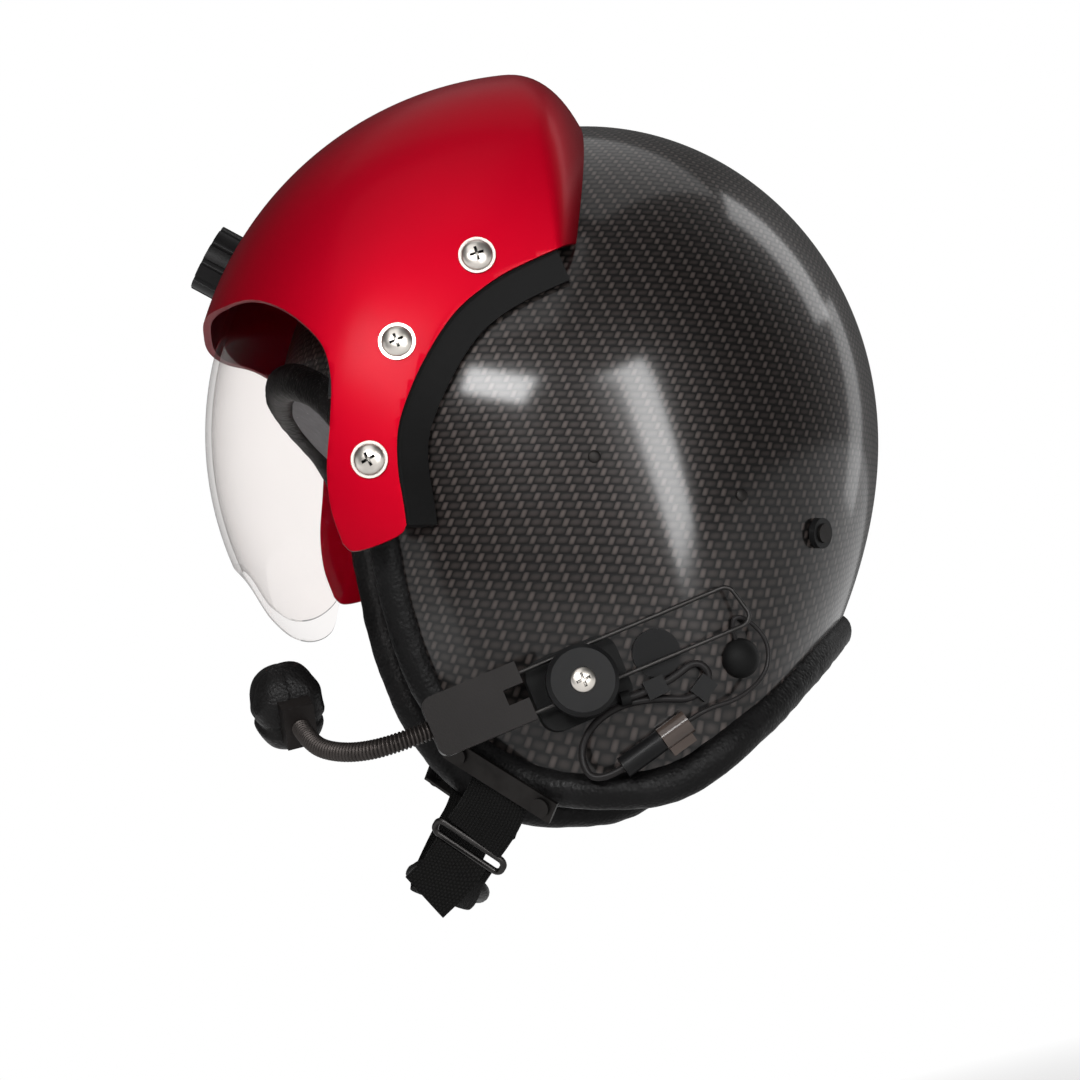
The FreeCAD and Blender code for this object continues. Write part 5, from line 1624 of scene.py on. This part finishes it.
@dataclass
class SideLeads:
    """The microphone lead, the thin lead and what joins them."""

    finishes: Finishes
    mic_radius: float = 1.4
    thin_radius: float = 0.9
    mic_route: Sequence[Place] = (
        (118.0, -25.4, -69.0), (118.2, -21.5, -69.0), (118.7, -9.0, -66.8), (119.0, 2.0, -61.5),
        (118.4, 6.5, -69.0), (117.8, -2.5, -76.0), (117.6, -15.0, -72.0), (116.2, -29.4, -70.5),
        (113.6, -42.5, -75.5), (112.6, -49.0, -85.5), (115.2, -46.0, -97.0), (116.5, -34.4, -93.5),
    )
    thin_route: Sequence[Place] = (
        (118.2, -6.8, -83.0), (118.6, 0.5, -80.2), (117.2, 14.0, -80.0), (114.4, 27.0, -73.5),
        (113.8, 31.0, -61.5), (114.6, 24.5, -50.5), (115.2, 18.6, -50.0), (113.4, 18.8, -58.0),
    )

    def build(self) -> None:
        """Lays the leads and dresses the plug and jack."""
        dress(self.finishes.black, "mic_plug")
        dress(self.finishes.brown, "mic_jack")
        self._lead("mic_lead_cable", self.mic_route, self.mic_radius, "mic_lead")
        self._lead("ear_lead_cable", self.thin_route, self.thin_radius, "ear_lead")

    def _lead(
        self, name: str, route: Sequence[Place], radius: float, node: str
    ) -> None:
        """One lead along its route, with the piece on it.

        Args:
            name: The piece's name.
            route: Its control points, in millimetres.
            radius: Its radius in millimetres.
            node: The node that it stands for.
        """
        lead = nurbs(name, route, radius, self.finishes.lead)
        stand_for(lead, "helmet", "lead_rubber", node)
        line = route_line(route, 400)
        sum((b - a).length for a, b in zip(line, line[1:])) * MM


@dataclass
class ChinHarness:
    """The chin strap with its plates, ring, tail and pad."""

    finishes: Finishes
    width: float = 25.0
    tail_share: float = 0.9
    thickness: float = 2.0
    pad_half: Point = (16.6, 3.4)
    pad_lift: Point = (3.4, 4.4)
    side: Place = (0.57, 0.74, -0.50)
    near: Sequence[Place] = (
        (97.9, -77.6, -85.9), (95.6, -79.3, -89.4), (90.0, -83.0, -94.8), (82.0, -88.0, -100.0),
        (76.5, -92.0, -103.5),
    )
    under: Sequence[Place] = (
        (68.5, -97.0, -109.0), (60.0, -101.0, -113.0), (42.0, -104.0, -118.0), (20.0, -106.0, -121.5),
        (0.0, -107.0, -122.5), (-20.0, -106.0, -121.5), (-42.0, -104.0, -118.0), (-60.0, -99.0, -112.0),
        (-74.0, -92.5, -104.7), (-82.0, -88.0, -100.0), (-90.0, -83.0, -94.8), (-95.6, -79.3, -89.4),
        (-97.9, -77.6, -85.9),
    )
    tail: Sequence[Place] = (
        (74.3, -98.0, -108.6), (74.2, -101.5, -111.8), (73.6, -106.5, -115.2), (72.6, -116.0, -120.5),
    )

    def build(self) -> None:
        """Builds the straps and pad and dresses the plates."""
        dress(self.finishes.dark_steel, "anchor_plate_left", "anchor_plate_right", "anchor_screws")
        dress(self.finishes.steel, "buckle_ring")
        self._strap("near_webbing", self.near, self.width, "chinstrap_left")
        self._strap("under_webbing", self.under, self.width, "chinstrap_under")
        self._strap("tail_webbing", self.tail, self.width * self.tail_share, "strap_tail")
        self._pad()

    def _axes(self, path: Sequence[Vector], i: int) -> tuple[Vector, Vector]:
        """The directions of a strap's width and thickness, which lean alike on both sides.

        Args:
            path: The strap's path.
            i: The number of one of its points.

        Returns:
            The two directions.
        """
        ahead = heading(path, i)
        across = Vector((self.side[0] * path[i].x / DOME.side, self.side[1], self.side[2]))
        across = (across - ahead * across.dot(ahead)).normalized()
        return across, ahead.cross(across)

    def _strap(self, name: str, route: Sequence[Place], width: float, node: str) -> None:
        """One length of webbing with rounded selvedges.

        Args:
            name: The piece's name.
            route: The middle of the strap, in millimetres.
            width: Its width.
            node: The node that it stands for.
        """
        path = smooth_line(route, max(24, 6 * len(route)))
        profile = [rounded(math.tau * k / 20, (0.35, 0.7)) for k in range(20)]
        profile = [(a * width / 2, t * self.thickness / 2) for a, t in profile]
        vertices, flat, travelled = [], [], 0.0
        for i, point in enumerate(path):
            across, thick = self._axes(path, i)
            travelled += (point - path[i - 1]).length if i else 0.0
            for a, t in profile:
                vertices.append(point + across * a + thick * t)
                flat.append((a * MM, travelled * MM))
        faces = loft_faces(len(path), len(profile))
        strap = mesh_piece(name, vertices, faces, self.finishes.webbing, flat, 50.0)
        stand_for(strap, "helmet", "webbing", node)

    def _pad(self, columns: int = 36) -> None:
        """The chin pad on the middle of the strap.

        Args:
            columns: Vertices in each ring.
        """
        back, up = self.pad_lift
        path = smooth_line([(x, y + back, z + up) for x, y, z in self.under[2:7]], 60)
        vertices = []
        for i, point in enumerate(path):
            along = -1 + 2 * i / (len(path) - 1)
            across, thick = self._axes(path, i)
            shrink = max((1 - abs(along) ** 5) ** 0.4 if abs(along) < 1 else 0.0, 0.05)
            for k in range(columns):
                a, t = rounded(math.tau * k / columns, (0.6, 0.8))
                reach_a, reach_t = (half * shrink for half in self.pad_half)
                vertices.append(point + across * (a * reach_a) + thick * (t * reach_t))
        faces = loft_faces(len(path), columns)
        pad = mesh_piece("chin_cushion", vertices, faces, self.finishes.leather, None, 70.0)
        stand_for(pad, "helmet", "black_leather", "chin_pad")


@dataclass(frozen=True)
class Lamp:
    """A soft lamp that faces the helmet, its size in metres and its power in watts."""

    name: str
    place: Place
    size: Point
    power: float
    turn: float = 0.0
    aim: Place = (0.0, 0.0, 0.04)

    def build(self) -> None:
        """Hangs the lamp, turned in degrees about its own axis."""
        data = bpy.data.lights.new(self.name, "AREA")
        data.shape = "RECTANGLE"
        data.size, data.size_y = self.size
        data.energy = self.power
        lamp = bpy.data.objects.new(self.name, data)
        facing = (Vector(self.place) - Vector(self.aim)).to_track_quat("Z", "Y").to_matrix().to_4x4()
        own_turn = Matrix.Rotation(math.radians(self.turn), 4, "Z")
        lamp.matrix_world = Matrix.Translation(self.place) @ facing @ own_turn
        bpy.context.collection.objects.link(lamp)
        LOG.info("%s hangs", self.name)


@dataclass
class Studio:
    """The camera at the photograph's angle, the floor and the lights."""

    azimuth: float = 84.5
    elevation: float = -5.0
    roll: float = 15.0
    distance: float = 1.5
    metres_per_pixel: float = 0.000405
    target: Place = (0.0, 0.0, 0.04455)
    target_pixel: Point = (590.0, 430.0)
    frame_pixels: float = 1080.0
    sensor: float = 36.0
    floor_half: float = 3000.0
    floor_gap: float = 0.14
    floor_colour: Colour = (0.68, 0.67, 0.67)
    surround: float = 0.10
    lamps: Sequence[Lamp] = (
        Lamp("front_window", (1.38, -0.44, 0.51), (0.24, 0.56), 13.0, 60.0),
        Lamp("side_strip", (1.48, 0.34, 0.14), (0.25, 0.50), 8.5, 14.0),
        Lamp("rear_window", (-0.46, 1.25, 0.70), (0.40, 0.8), 4.0),
        Lamp("rear_edge", (-0.75, 1.25, -0.05), (0.35, 0.9), 2.0),
        Lamp("cover_glow", (0.95, -0.30, 1.30), (1.0, 1.0), 4.0),
        Lamp("crest_glow", (-0.35, 0.25, 1.40), (1.3, 1.3), 5.0),
        Lamp("front_fill", (0.35, -1.5, 0.15), (0.9, 0.9), 2.0),
        Lamp("low_fill", (1.2, -0.2, -0.9), (0.8, 0.8), 0.8),
    )

    def build(self) -> None:
        """Sets up the whole studio."""
        self._camera()
        self._floor()
        self._world()
        for lamp in self.lamps:
            lamp.build()
        bpy.context.scene.view_settings.view_transform = "Standard"

    def _axes(self) -> tuple[Vector, Vector, Vector]:
        """The way the camera is turned.

        Returns:
            Its right, up and backward directions.
        """
        a, e, r = (math.radians(v) for v in (self.azimuth, self.elevation, self.roll))
        back = Vector((math.sin(a) * math.cos(e), -math.cos(a) * math.cos(e), math.sin(e)))
        right = (-back).cross(Vector((0, 0, 1))).normalized()
        up = right.cross(-back)
        turned_right = right * math.cos(r) - up * math.sin(r)
        turned_up = right * math.sin(r) + up * math.cos(r)
        return turned_right, turned_up, back

    def _camera(self) -> None:
        """The camera that frames the helmet as the photograph does."""
        right, up, back = self._axes()
        half = self.frame_pixels / 2
        across = (self.target_pixel[0] - half) * self.metres_per_pixel
        rise = -(self.target_pixel[1] - half) * self.metres_per_pixel
        data = bpy.data.cameras.new("photo_camera")
        data.sensor_width = self.sensor
        data.lens = self.sensor * self.distance / (self.metres_per_pixel * self.frame_pixels)
        data.clip_end = 50.0
        camera = bpy.data.objects.new("photo_camera", data)
        turn = Matrix((right, up, back)).transposed().to_4x4()
        place = Vector(self.target) - right * across - up * rise + back * self.distance
        camera.matrix_world = Matrix.Translation(place) @ turn
        bpy.context.collection.objects.link(camera)
        bpy.context.scene.camera = camera

    def _floor(self) -> None:
        """A pale floor under the helmet that keeps its shadow."""
        half = self.floor_half
        corners = [(-half, -half, 0.0), (half, -half, 0.0), (half, half, 0.0), (-half, half, 0.0)]
        floor = mesh_piece("pale_floor", corners, [(0, 1, 2, 3)], self._white())
        floor.location.z = CAD_BOX[0][2] - self.floor_gap

    def _white(self) -> bpy.types.Material:
        """The floor's finish: matte to light, and white where it is seen away from the helmet.

        Returns:
            The material.
        """
        g = Graph.start("pale_floor")
        matte = g.node("ShaderNodeBsdfDiffuse", None, Color=shade(self.floor_colour))
        glow = g.node("ShaderNodeEmission", None, Color=(1, 1, 1, 1), Strength=1.0)
        seen = (g.ray("Camera") + g.ray("Glossy") + g.ray("Transmission")).ramp()
        x, y, _ = g.split(g.place())
        away = (x * x + y * y) ** 0.5
        return g.either(seen * away.ramp(0.08, 0.42, 0.5, 1.0), matte, glow)

    def _world(self) -> None:
        """A surround that is white where it is seen and dim as a light."""
        world = bpy.data.worlds.new("white_surround")
        bpy.context.scene.world = world
        g = Graph(world)
        dim = g.node("ShaderNodeBackground", None, Color=(1, 1, 1, 1), Strength=self.surround)
        white = g.node("ShaderNodeBackground", None, Color=(1, 1, 1, 1), Strength=1.0)
        g.either((g.ray("Camera") + g.ray("Transmission")).ramp(), dim, white)


def main() -> None:
    """Builds the helmet's looks in order."""
    logging.basicConfig(level=logging.INFO, format="%(name)s: %(message)s")
    finishes = Finishes()
    Studio().build()
    SideLeads(finishes).build()
    HelmetShell(finishes).build()
    housing = VisorHousing(finishes)
    housing.build()
    ClearVisor(finishes, housing).build()
    HeadLining(finishes).build()
    BoomMicrophone(finishes).build()
    ChinHarness(finishes).build()


if __name__ == "__main__":
    main()
